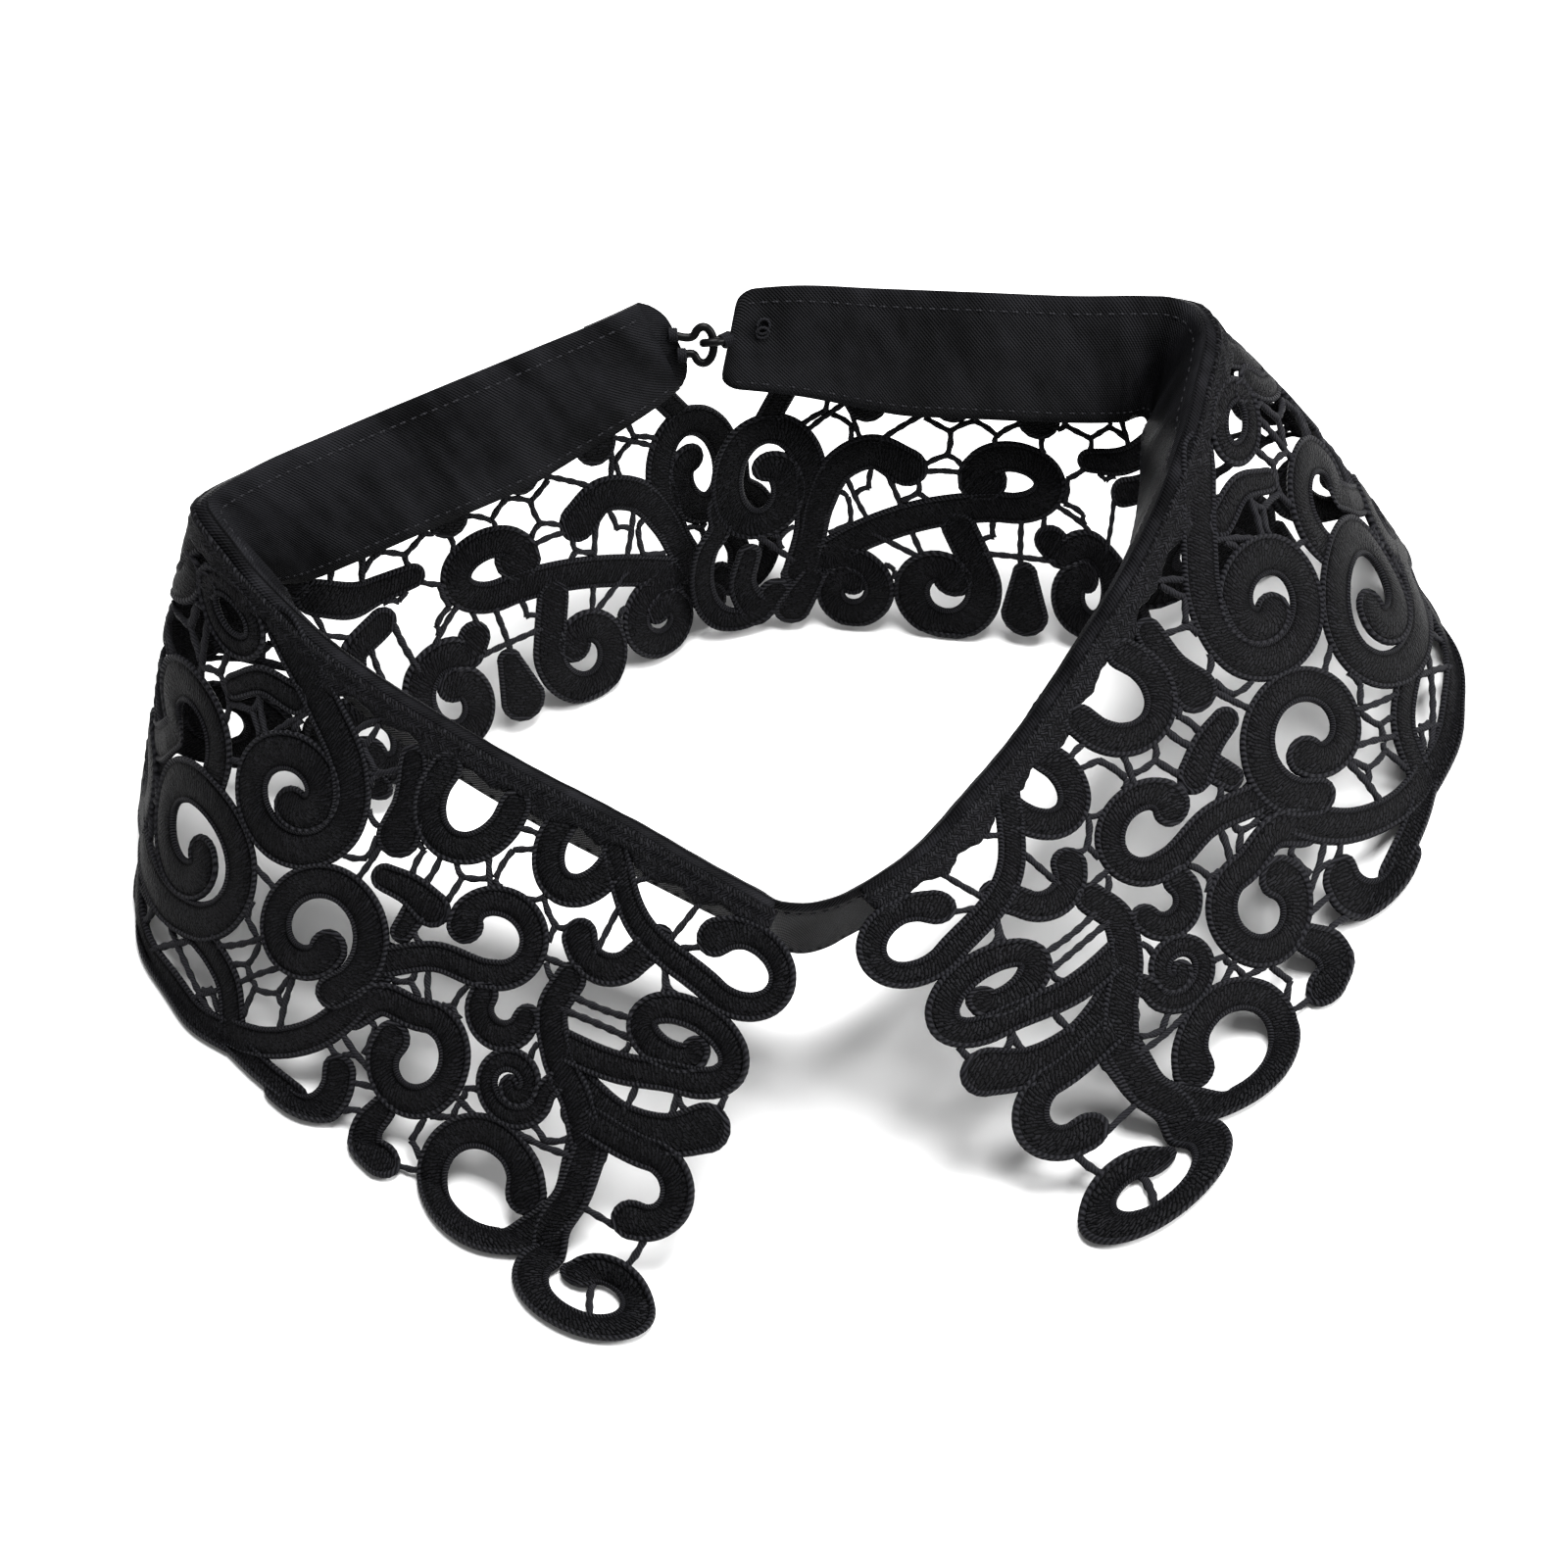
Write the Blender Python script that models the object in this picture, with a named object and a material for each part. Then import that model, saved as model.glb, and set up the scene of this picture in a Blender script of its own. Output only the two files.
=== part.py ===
"""Detachable lace collar: a ring-shaped neckband with two mirrored guipure lace halves, closed at the back."""

import math

import bpy
import numpy as np
from mathutils import Vector
from mathutils.geometry import delaunay_2d_cdt

MM = 0.001

# Sizes in millimetres. ORIGIN is where the middle of the object's box lies in the frame of the section rows.
ORIGIN = (4.13, -5.1, 0.0)
DEPTH = 58.0
LACE_THICK = 1.5
STAND_THICK = 1.3
STAND_HIGH = 19.5
STAND_STEP = 3.25
GAP = 0.3
BAR_WIDE = 1.2
BAR_STEP = 5.2
BAR_REACH = 9.0
HEADING_WIDE = 3.6
FOLD_AT = 105.0
FOLD_WIDE = 6.0
FAN_AT_HEM = 2.5
CELL_S, CELL_T = 0.4, 0.5
OUTLINE_TOLERANCE = 0.2
NECK_FILLET = 1.2
LONGEST_EDGE = 5.0
SMALLEST_GAP = 5.0
WIRE_RADIUS = 0.6

# Cross sections of each half. Columns: s along the roll line from the front edge, roll x y z, hem x y z, bulge.
LEFT_ROWS = (
    (0, -0.7, -34.8, 34.0, -27.1, -75.6, -1.5, 1.0),
    (13, -11.5, -27.3, 34.0, -40.3, -67.8, -1.5, 1.0),
    (28, -23.7, -19.1, 35.0, -52.7, -57.4, -0.8, 1.0),
    (42, -35.9, -12.8, 37.0, -64.4, -47.6, 0.0, 1.0),
    (56, -48.1, -6.5, 40.0, -76.9, -36.9, 0.0, 1.0),
    (70, -60.1, 0.5, 43.0, -87.1, -27.2, 0.0, 1.0),
    (84, -70.8, 8.1, 47.0, -94.8, -13.1, 0.0, 1.0),
    (94, -79.0, 15.8, 51.0, -96.2, 1.2, 0.0, 1.0),
    (101, -84.3, 23.7, 54.0, -95.2, 15.3, 0.0, 1.0),
    (103.5, -83.2, 26.2, 53.6, -91.5, 18.2, 0.0, 1.0),
    (109, -78.0, 31.9, 52.4, -64.0, 10.6, 0.0, 1.0),
    (120.5, -65.9, 41.0, 51.2, -51.2, 19.0, 0.0, 1.0),
    (136.5, -52.1, 50.5, 50.2, -37.0, 28.4, 0.0, 1.0),
    (153, -38.0, 59.8, 49.4, -23.6, 37.4, 0.0, 1.0),
    (166, -26.5, 67.0, 49.2, -13.4, 46.2, 0.0, 1.0),
    (173, -20.5, 71.2, 49.2, -8.5, 51.8, 0.0, 1.0),
    (180, -15.0, 75.4, 49.2, -3.0, 56.4, 0.0, 1.0),
    (188, -8.5, 79.6, 49.2, 3.8, 61.0, 0.0, 1.0),
)
RIGHT_ROWS = (
    (0, 10.6, -32.2, 34.0, 51.6, -57.2, -1.5, 1.0),
    (11, 19.3, -24.8, 34.0, 63.3, -45.2, -1.5, 1.0),
    (24, 27.7, -13.4, 34.0, 73.0, -32.5, -0.8, 1.0),
    (37, 35.7, -2.2, 35.0, 81.8, -18.4, 0.0, 1.0),
    (51, 43.9, 11.4, 37.0, 92.9, 2.7, 0.0, 1.0),
    (64.5, 51.4, 24.1, 40.0, 100.4, 20.0, 0.0, 1.0),
    (78, 57.7, 38.0, 43.0, 104.3, 35.8, 0.0, 1.6),
    (92, 62.8, 54.3, 46.0, 101.2, 53.4, 0.0, 2.0),
    (102, 64.4, 65.8, 49.0, 95.6, 67.7, 0.0, 1.8),
    (105, 62.8, 68.2, 50.0, 91.0, 69.6, 0.0, 1.4),
    (109, 60.0, 70.0, 50.0, 76.0, 59.0, 0.0, 1.0),
    (115, 55.6, 70.6, 50.0, 58.0, 45.0, 0.0, 1.0),
    (127, 44.2, 70.4, 50.2, 45.5, 43.6, 0.0, 1.0),
    (142, 29.5, 71.2, 50.2, 30.3, 45.6, 0.0, 1.0),
    (156.5, 14.8, 72.0, 50.2, 15.0, 47.6, 0.0, 1.0),
    (171.5, 0.0, 72.8, 50.0, 0.5, 48.0, 0.0, 0.8),
    (177.5, -6.4, 72.4, 49.6, -6.4, 46.6, 0.0, 0.2),
    (185.5, -14.1, 71.0, 49.2, -14.2, 43.8, 0.0, -0.6),
)

# The lace pattern, flat: s along the roll line, t down from it, as on the left half. Angles open from +s to +t.
# Columns: name, centre s, centre t, radius, tall, start, sweep, inner, width, end width, lead-in points.
SCROLLS = (
    ("front_lobe", 1.0, 9.2, 6.2, 0.74, 60, 270, 1.0, 4.0, 5.6, ((27, 2.5), (18, 10))),
    ("long_spiral", 4.0, 21.3, 8.4, 0.56, 100, 430, 0.3, 4.4, 4.2, ((19, 29.5), (9, 28))),
    ("hook_lobe", 0.2, 41.5, 5.4, 0.95, -70, -190, 0.8, 4.6, 5.4, ((12, 36),)),
    ("tip", -1.2, 57.4, 6.4, 1.1, -20, 350, 0.5, 4.8, 5.6, ((8, 40), (6.3, 47), (6.4, 51))),
    ("ellipse", 18.8, 51.0, 9.0, 0.88, 165, -322, 0.7, 4.8, 5.8, ((9, 40), (7.6, 47))),
    ("ball", 21.8, 37.6, 5.0, 0.84, 200, -500, 0.15, 3.4, 3.4, ((15.5, 32.5),)),
    ("small_hook", 28.4, 30.0, 3.7, 0.95, 190, -195, 1.0, 4.4, 4.4, ()),
    ("comma_front", 35.2, 21.8, 6.6, 0.84, 110, 265, 0.66, 4.4, 5.4, ((47, 33.5), (41, 28.8))),
    ("loop_1", 29.8, 5.0, 4.9, 1.35, 195, -210, 1.0, 4.8, 4.8, ()),
    ("loop_2", 47.2, 6.5, 5.8, 1.3, 195, -210, 1.0, 4.8, 4.8, ()),
    ("low_arc", 19.8, 13.4, 5.0, 0.95, 170, -135, 1.0, 4.6, 5.4, ((13.5, 11.0),)),
    ("circle", 57.3, 35.2, 8.8, 1.0, 140, 385, 0.36, 5.2, 5.8, ()),
    ("hem_hook", 48.8, 53.2, 4.9, 1.14, 215, -140, 1.0, 4.8, 4.8, ()),
    ("eye_scroll", 36.2, 42.6, 6.0, 1.08, -60, -310, 0.72, 4.8, 5.2, ((47, 42), (44.5, 38))),
    ("side_a", 70.3, 19.8, 9.0, 0.88, 200, -455, 0.24, 4.4, 4.4, ((84, 1.5), (73, 6.5), (65, 12))),
    ("side_b", 81.5, 38.0, 11.0, 0.85, 110, 345, 0.34, 5.0, 8.0, ((97, 51.5), (89, 49.5))),
    ("arch", 90.4, 27.6, 7.4, 1.0, 178, 225, 0.62, 4.6, 5.4, ()),
    ("side_ring", 91.0, 6.5, 4.4, 0.75, 0, 360, 1.0, 3.6, 3.6, ()),
    ("fold_ring", 102.0, 9.0, 5.0, 1.2, 190, -200, 1.0, 4.4, 4.4, ()),
    ("fold_a", 98.6, 46.5, 6.2, 1.1, 60, 400, 0.34, 4.6, 5.2, ()),
    ("fold_b", 105.0, 45.5, 6.4, 1.15, 200, -400, 0.34, 4.6, 5.2, ()),
    ("fold_c", 112.0, 46.5, 6.2, 1.1, 120, 400, 0.34, 4.6, 5.2, ()),
    ("fold_d", 104.5, 25.5, 5.6, 1.1, 100, 380, 0.4, 4.4, 5.2, ()),
    ("back_loop_1", 113.5, 6.0, 5.0, 1.3, 195, -210, 1.0, 4.4, 4.4, ()),
    ("back_loop_2", 126.5, 6.0, 5.0, 1.3, 195, -210, 1.0, 4.4, 4.4, ()),
    ("back_loop_3", 139.5, 6.0, 5.0, 1.3, 195, -210, 1.0, 4.4, 4.4, ()),
    ("back_loop_4", 152.5, 6.0, 5.0, 1.3, 195, -210, 1.0, 4.4, 4.4, ()),
    ("back_loop_5", 165.5, 6.0, 5.0, 1.3, 195, -210, 1.0, 4.4, 4.4, ()),
    ("back_c", 125.0, 47.8, 6.0, 1.25, -50, -380, 0.34, 4.6, 5.0, ((131, 40),)),
    ("teardrop", 138.0, 30.5, 7.4, 0.66, 80, 290, 0.5, 4.6, 7.6, ((168, 47), (158, 40.8), (149, 37))),
    ("comma_back", 147.3, 49.4, 6.2, 1.1, 215, -350, 0.36, 4.6, 5.6, ((145, 39),)),
    ("curl", 161.5, 51.0, 5.2, 0.98, -65, -400, 0.3, 4.2, 4.2, ((170, 48.5), (166, 45.6))),
    ("end_ring", 174.3, 32.5, 6.7, 1.45, 170, 440, 0.3, 3.9, 3.6, ((169.5, 48), (167.8, 41))),
    ("end_foot", 178.0, 46.2, 6.0, 1.42, -60, 205, 1.0, 4.0, 4.6, ((181.3, 35),)),
)
# Columns: name, start width, end width, points.
STEMS = (
    ("blob_lobe", 6.8, 4.2, ((-4.2, 30.0), (-0.5, 33.0), (6, 34.3), (13, 32.6))),
    ("trunk", 5.0, 4.8, ((22, 21.6), (22.2, 26), (18.6, 30.6), (12.5, 34.8), (8, 40))),
    ("drop", 4.2, 6.6, ((57.5, 6), (54.6, 12), (53.8, 16.6))),
    ("bird", 5.4, 4.2, ((44.6, 23.2), (48.4, 22.4), (52.4, 22.8))),
    ("bird_foot", 4.0, 3.4, ((46.4, 23.5), (46.6, 28.2))),
    ("long_stem", 4.6, 4.6, ((46.6, 32.5), (47.2, 40), (50, 47.6), (55.6, 53), (63, 55.6))),
    ("hem_stem", 4.6, 4.6, ((48.6, 57.4), (55, 57), (62, 55.6))),
    ("hem_blob", 6.4, 4.0, ((33.6, 57.6), (36.4, 57.2), (37.6, 54.6), (37.0, 51))),
    ("leaf_top", 4.4, 4.4, ((61, 54.8), (66, 48.8), (74, 46.8), (82, 49), (92, 53))),
    ("leaf_low", 5.6, 4.4, ((61, 55.8), (67.5, 57), (75, 56.4), (84, 56.8), (93, 53.2))),
    ("arch_foot", 4.4, 4.4, ((93, 30.5), (95, 36), (97.5, 40))),
    ("side_leaf", 4.6, 3.6, ((77, 8.5), (83, 10), (86.5, 14.5))),
    ("fold_leaf", 4.0, 5.4, ((108.4, 6), (109, 14), (109.5, 19))),
    ("back_leaf", 6.0, 4.0, ((111.5, 22), (117, 25.5), (125, 26.5))),
    ("back_drop_1", 4.0, 6.4, ((120, 5), (120, 16.5))),
    ("back_drop_2", 4.0, 7.0, ((133, 5), (133, 20))),
    ("back_drop_3", 4.0, 6.4, ((146, 5), (146, 18.5))),
    ("back_drop_4", 4.0, 7.0, ((159, 5), (159, 19))),
    ("end_top", 4.0, 3.8, ((169, 12), (171.5, 17), (174.3, 22.5))),
    ("fold_spine", 5.0, 4.6, ((99.5, 3), (102.6, 14), (103.4, 26), (103.2, 40))),
    ("back_blob", 4.0, 7.4, ((135, 45.8), (135, 52.4))),
    ("arch_back", 6.6, 4.2, ((152.8, 29.6), (157.5, 27.4), (163, 30), (166.3, 36.5), (167.8, 44))),
    ("scallop", 4.4, 5.6, ((167.5, 49), (170.6, 54))),
    ("end_leaf", 3.6, 4.6, ((176.6, 44), (177.6, 49), (175.6, 54))),
    ("fold_blob_1", 4.4, 6.0, ((101.6, 50), (101.8, 55.4))),
    ("fold_blob_2", 4.4, 6.0, ((108.4, 50), (108.5, 55.4))),
    ("fold_blob_3", 4.4, 6.0, ((118, 49.5), (118, 55))),
    ("fold_net", 4.2, 5.0, ((112, 36), (113.5, 31.5), (118.5, 31))),
)
# Columns: the two ends of each twisted bar that is placed by hand, s t s t.
BARS = (
    (21.0, 9.5, 20.6, 17.5), (16.5, 12.6, 27.5, 14.6), (11.0, 21.6, 21.5, 23.4), (9.0, 24.0, 21.0, 25.6),
    (6.6, 28.5, 6.6, 34.5), (130.0, 43.2, 141.5, 43.2), (135.6, 38.0, 135.6, 47.0),
    (116.5, 37.4, 124.5, 34.6), (120.2, 31.0, 121.5, 41.0), (150.0, 20.5, 158.0, 26.5), (157.5, 20.5, 150.5, 26.5),
    (152.5, 43.6, 158.5, 40.6), (70.0, 53.2, 79.0, 50.0), (76.5, 51.0, 80.5, 56.0), (-1.6, 60.5, 0.4, 55.5),
)


def clear_scene():
    for obj in list(bpy.data.objects):
        bpy.data.objects.remove(obj, do_unlink=True)


def spline(knots, values, at):
    """Smooth curve through rows of values at uneven knots."""
    slope = np.gradient(values, knots, axis=0)
    i = np.clip(np.searchsorted(knots, at, side="right") - 1, 0, len(knots) - 2)
    h = (knots[i + 1] - knots[i])[..., None]
    u = ((at - knots[i])[..., None]) / h
    inside = ((2 * u**3 - 3 * u**2 + 1) * values[i] + (u**3 - 2 * u**2 + u) * h * slope[i]
              + (3 * u**2 - 2 * u**3) * values[i + 1] + (u**3 - u**2) * h * slope[i + 1])
    before = values[0] + (at - knots[0])[..., None] * slope[0]
    after = values[-1] + (at - knots[-1])[..., None] * slope[-1]
    return np.where((at < knots[0])[..., None], before, np.where((at > knots[-1])[..., None], after, inside))


class Leaf:
    """The hanging surface of one lace half: roll line, hem line and a slight outward bulge between them."""

    def __init__(self, rows, side):
        table = np.array(rows, float)
        self.knots, self.roll, self.hem, self.side = table[:, 0], table[:, 1:4], table[:, 4:7], side
        self.bulge = table[:, 7:8]

    def middle(self, s, t):
        s, t = np.asarray(s, float), np.asarray(t, float)
        roll, hem = spline(self.knots, self.roll, s), spline(self.knots, self.hem, s)
        u = (t / DEPTH)[..., None]
        flat = roll + (hem - roll) * u
        step = 1.0
        run = spline(self.knots, (self.roll + self.hem) / 2, s + step) - spline(
            self.knots, (self.roll + self.hem) / 2, s - step)
        out = np.cross(run, hem - roll) * self.side
        out /= np.linalg.norm(out, axis=-1, keepdims=True)
        bulge = np.interp(s, self.knots, self.bulge[:, 0])[..., None]
        point = flat + out * bulge * np.sin(np.pi * np.clip(u, 0, 1))
        point[..., 2] = np.maximum(point[..., 2], LACE_THICK / 2)
        return point

    def normal(self, s, t):
        along = self.middle(s + 0.5, t) - self.middle(s - 0.5, t)
        down = self.middle(s, t + 0.5) - self.middle(s, t - 0.5)
        out = np.cross(along, down) * self.side
        return out / np.linalg.norm(out, axis=-1, keepdims=True)


LEFT = Leaf(LEFT_ROWS, 1)
RIGHT = Leaf(RIGHT_ROWS, -1)


# The flat pattern.
def fan(s, t):
    """How much wider the cloth is at depth t than at the roll line, near the corner fold."""
    return 1 + FAN_AT_HEM * (t / DEPTH) * np.exp(-(((s - FOLD_AT) / FOLD_WIDE) ** 2))


def along(s, t, distance):
    """The s that lies a real distance from s at depth t."""
    reach = np.linspace(s - 30, s + 30, 241)
    length = np.concatenate([[0], np.cumsum(fan((reach[1:] + reach[:-1]) / 2, t) * np.diff(reach))])
    return float(np.interp(np.interp(s, reach, length) + distance, length, reach))


def smooth_path(points, widths, step=0.6):
    points = np.array(points, float)
    gaps = np.maximum(np.linalg.norm(np.diff(points, axis=0), axis=1), 1e-3)
    knots = np.concatenate([[0], np.cumsum(gaps)])
    at = np.linspace(0, knots[-1], max(4, int(knots[-1] / step)))
    return spline(knots, points, at), np.interp(at, knots, widths)


def scroll_path(row):
    _, s, t, radius, tall, start, sweep, inner, width, end_width, lead = row
    count = max(6, int(abs(sweep) / 24))
    points = [tuple(p) for p in lead]
    for i in range(count + 1):
        u = i / count
        angle = math.radians(start + sweep * u)
        r = radius * (1 - (1 - inner) * u**1.7)
        down = t + r * tall * math.sin(angle)
        points.append((along(s, down, r * math.cos(angle)), down))
    widths = [width] * len(points)
    widths[-1], widths[-2] = end_width, (width + end_width) / 2
    return smooth_path(points, widths)


def stem_path(row):
    _, start_width, end_width, points = row
    return smooth_path(points, np.linspace(start_width, end_width, len(points)))


PATHS = [scroll_path(row) for row in SCROLLS] + [stem_path(row) for row in STEMS]
HEADING_S = np.arange(0.5, 170.5, 0.6)
PATHS.append((np.stack([HEADING_S, np.full_like(HEADING_S, HEADING_WIDE / 2)], axis=1),
              np.full_like(HEADING_S, HEADING_WIDE)))

S_AXIS = np.arange(-16, 192, CELL_S)
T_AXIS = np.arange(-4, 72, CELL_T)


def stamp(field, points, widths):
    """Adds a band to the field, below zero inside thread, with a small fillet where it meets another."""
    reach = float(np.max(widths)) / 2 + 3
    i0, i1 = np.searchsorted(S_AXIS, (points[:, 0].min() - reach, points[:, 0].max() + reach))
    j0, j1 = np.searchsorted(T_AXIS, (points[:, 1].min() - reach, points[:, 1].max() + reach))
    band = np.full((i1 - i0, j1 - j0), 3.0)
    for (s, t), width in zip(points, widths):
        k = float(fan(s, t))
        away = np.hypot((S_AXIS[i0:i1, None] - s) * k, T_AXIS[None, j0:j1] - t) - width / 2
        band = np.minimum(band, away)
    here = field[i0:i1, j0:j1]
    near = np.clip(NECK_FILLET - np.abs(here - band), 0, None) / NECK_FILLET
    field[i0:i1, j0:j1] = np.minimum(here, band) - near**2 * NECK_FILLET / 4


def sample(field, s, t):
    i = min(max((s - S_AXIS[0]) / CELL_S, 0), len(S_AXIS) - 1.001)
    j = min(max((t - T_AXIS[0]) / CELL_T, 0), len(T_AXIS) - 1.001)
    i0, j0, u, v = int(i), int(j), i % 1, j % 1
    return ((field[i0, j0] * (1 - u) + field[i0 + 1, j0] * u) * (1 - v)
            + (field[i0, j0 + 1] * (1 - u) + field[i0 + 1, j0 + 1] * u) * v)


def bar_path(s0, t0, s1, t1):
    count = max(3, int(math.hypot((s1 - s0) * fan((s0 + s1) / 2, (t0 + t1) / 2), t1 - t0) / 0.5))
    points = np.stack([np.linspace(s0, s1, count), np.linspace(t0, t1, count)], axis=1)
    return points, np.full(count, BAR_WIDE)


def in_eye(point):
    """Whether a point lies in the open middle of a scroll."""
    return any(math.hypot((point[0] - s) * fan(s, t), (point[1] - t) / tall) < 0.72 * radius
               for _, s, t, radius, tall, *_ in SCROLLS)


def find_bars(field):
    """Bars straight across each opening from one band to the next, kept a step apart."""
    middles = [((b[0] + b[2]) / 2, (b[1] + b[3]) / 2) for b in BARS]
    found = list(BARS)
    for points, widths in PATHS:
        every = max(1, round(BAR_STEP / 0.6))
        for i in range(2, len(points) - 2, every):
            run = points[i + 1] - points[i - 1]
            k = float(fan(*points[i]))
            run = np.array([run[0] * k, run[1]])
            run /= np.linalg.norm(run) + 1e-9
            for turn in (1, -1):
                out = np.array([run[1] / k, -run[0]]) * turn
                start = widths[i] / 2 - 0.4
                for reach in np.arange(widths[i] / 2 + 1.6, widths[i] / 2 + BAR_REACH, 0.4):
                    s, t = points[i] + out * reach
                    if not (S_AXIS[0] < s < S_AXIS[-1] and 0 < t < 66):
                        break
                    if sample(field, s, t) < -0.5:
                        a, b = points[i] + out * start, np.array([s, t])
                        middle = (a + b) / 2
                        if sample(field, *middle) > 0.7 and not in_eye(middle) and all(
                                math.hypot((middle[0] - m[0]) * k, middle[1] - m[1]) > BAR_STEP * 0.85
                                for m in middles):
                            middles.append(tuple(middle))
                            found.append((*a, *b))
                        break
    return found


def outlines(field):
    """Closed outlines of the field's zero line, by marching squares."""
    links = {}
    inside = field < 0
    ni, nj = field.shape

    def cut(i, j, k, m):
        u = field[i, j] / (field[i, j] - field[k, m])
        u = min(max(u, 0.02), 0.98)
        return (S_AXIS[i] + (S_AXIS[k] - S_AXIS[i]) * u, T_AXIS[j] + (T_AXIS[m] - T_AXIS[j]) * u)

    cells = inside[:-1, :-1].astype(int) + inside[1:, :-1] * 2 + inside[1:, 1:] * 4 + inside[:-1, 1:] * 8
    ways = {1: ((3, 0),), 2: ((0, 1),), 3: ((3, 1),), 4: ((1, 2),), 5: ((3, 2), (1, 0)), 6: ((0, 2),), 7: ((3, 2),),
            8: ((2, 3),), 9: ((2, 0),), 10: ((0, 3), (2, 1)), 11: ((2, 1),), 12: ((1, 3),), 13: ((1, 0),), 14: ((0, 3),)}
    for i, j in np.argwhere((cells > 0) & (cells < 15)):
        sides = ((i, j, i + 1, j), (i + 1, j, i + 1, j + 1), (i, j + 1, i + 1, j + 1), (i, j, i, j + 1))
        for a, b in ways[int(cells[i, j])]:
            links[sides[a]] = sides[b]
    rings = []
    while links:
        start, here = next(iter(links.items()))
        del links[start]
        ring = [cut(*start)]
        while here != start:
            ring.append(cut(*here))
            here = links.pop(here)
        rings.append(np.array(ring))
    return rings


def area_of(ring):
    """Signed real area, widened by the fan."""
    s, t = ring[:, 0], ring[:, 1]
    flat = 0.5 * float(np.sum(s * np.roll(t, -1) - np.roll(s, -1) * t))
    return flat * float(fan(s.mean(), t.mean()))


def thinned(ring):
    """Fewer points on an outline, none of the left-out ones further off than the tolerance."""
    k = fan(ring[:, 0].mean(), ring[:, 1].mean()) if len(ring) < 60 else 1.0
    real = ring * np.array([k, 1.0])
    far = int(np.argmax(np.hypot(*(real - real[0]).T)))
    keep, spans = {0, far}, [(0, far), (far, len(ring))]
    while spans:
        a, b = spans.pop()
        if b - a < 2:
            continue
        start, end = real[a], real[b % len(ring)]
        run = end - start
        inner = real[a + 1:b] - start
        length = math.hypot(*run)
        away = np.abs(inner[:, 0] * run[1] - inner[:, 1] * run[0]) / max(length, 1e-6)
        worst = int(np.argmax(away))
        if away[worst] < OUTLINE_TOLERANCE and length < LONGEST_EDGE:
            continue
        if away[worst] < OUTLINE_TOLERANCE:
            worst = (b - a) // 2 - 1
        keep.add(a + 1 + worst)
        spans += [(a, a + 1 + worst), (a + 1 + worst, b)]
    return ring[sorted(keep)]


def cloth_triangles():
    """The cut pattern as flat triangles: (points, faces)."""
    field = np.full((len(S_AXIS), len(T_AXIS)), 3.0)
    for points, widths in PATHS:
        stamp(field, points, widths)
    for bar in find_bars(field.copy()):
        stamp(field, *bar_path(*bar))
    rings = outlines(field)
    areas = [area_of(ring) for ring in rings]
    outer = max(range(len(rings)), key=lambda i: abs(areas[i]))
    kept = [rings[outer]] + [
        ring for i, ring in enumerate(rings)
        if i != outer and areas[i] * areas[outer] < 0 and abs(areas[i]) > SMALLEST_GAP]
    points, edges = [], []
    for ring in kept:
        ring = thinned(ring)
        first = len(points)
        points += [Vector(p) for p in ring]
        edges += [(first + i, first + (i + 1) % len(ring)) for i in range(len(ring))]
    where, _, faces, *_ = delaunay_2d_cdt(points, edges, [], 1, 1e-4)
    where = np.array([tuple(p) for p in where])
    solid = []
    for face in faces:
        middle = where[list(face)].mean(axis=0)
        if inside_rings(kept, middle):
            solid.append(tuple(face))
    return where, solid


def inside_rings(rings, point):
    hits = 0
    for ring in rings:
        a, b = ring, np.roll(ring, -1, axis=0)
        spans = (a[:, 1] > point[1]) != (b[:, 1] > point[1])
        a, b = a[spans], b[spans]
        hits += int(np.sum(point[0] < a[:, 0] + (point[1] - a[:, 1]) * (b[:, 0] - a[:, 0]) / (b[:, 1] - a[:, 1])))
    return hits % 2 == 1


def material(name, colour, rough):
    made = bpy.data.materials.new(name)
    made.use_nodes = True
    shader = made.node_tree.nodes["Principled BSDF"]
    shader.inputs["Base Color"].default_value = (*colour, 1)
    shader.inputs["Roughness"].default_value = rough
    return made


def add_object(name, points, faces, look):
    mesh = bpy.data.meshes.new(name)
    mesh.from_pydata([tuple(p) for p in (np.asarray(points) - ORIGIN) * MM], [], [tuple(int(i) for i in f) for f in faces])
    mesh.validate()
    mesh.materials.append(look)
    obj = bpy.data.objects.new(name, mesh)
    collection.objects.link(obj)
    return obj


def thick_shell(middle, normal, faces, thick):
    """A closed wall: the outer skin, the inner skin and the edge between them."""
    outer, inner = middle + normal * thick / 2, middle - normal * thick / 2
    for skin in (outer, inner):
        skin[skin[:, 2] < 0.05, 2] = 0
    count = len(middle)
    sides = {}
    for face in faces:
        for a, b in zip(face, face[1:] + face[:1]):
            sides[(a, b)] = True
    skin = [tuple(f) for f in faces] + [tuple(i + count for i in reversed(f)) for f in faces]
    for a, b in sides:
        if (b, a) not in sides:
            skin.append((b, a, a + count, b + count))
    return np.vstack([outer, inner]), skin


# The two lace halves.
def add_lace(name, leaf, flat, faces, look):
    middle, normal = leaf.middle(flat[:, 0], flat[:, 1]), leaf.normal(flat[:, 0], flat[:, 1])
    a, b, c = (middle[faces[0][i]] for i in range(3))
    if np.dot(np.cross(b - a, c - a), normal[faces[0][0]]) < 0:
        faces = [tuple(reversed(f)) for f in faces]
    return add_object(name, *thick_shell(middle, normal, faces, LACE_THICK), look)


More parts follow.
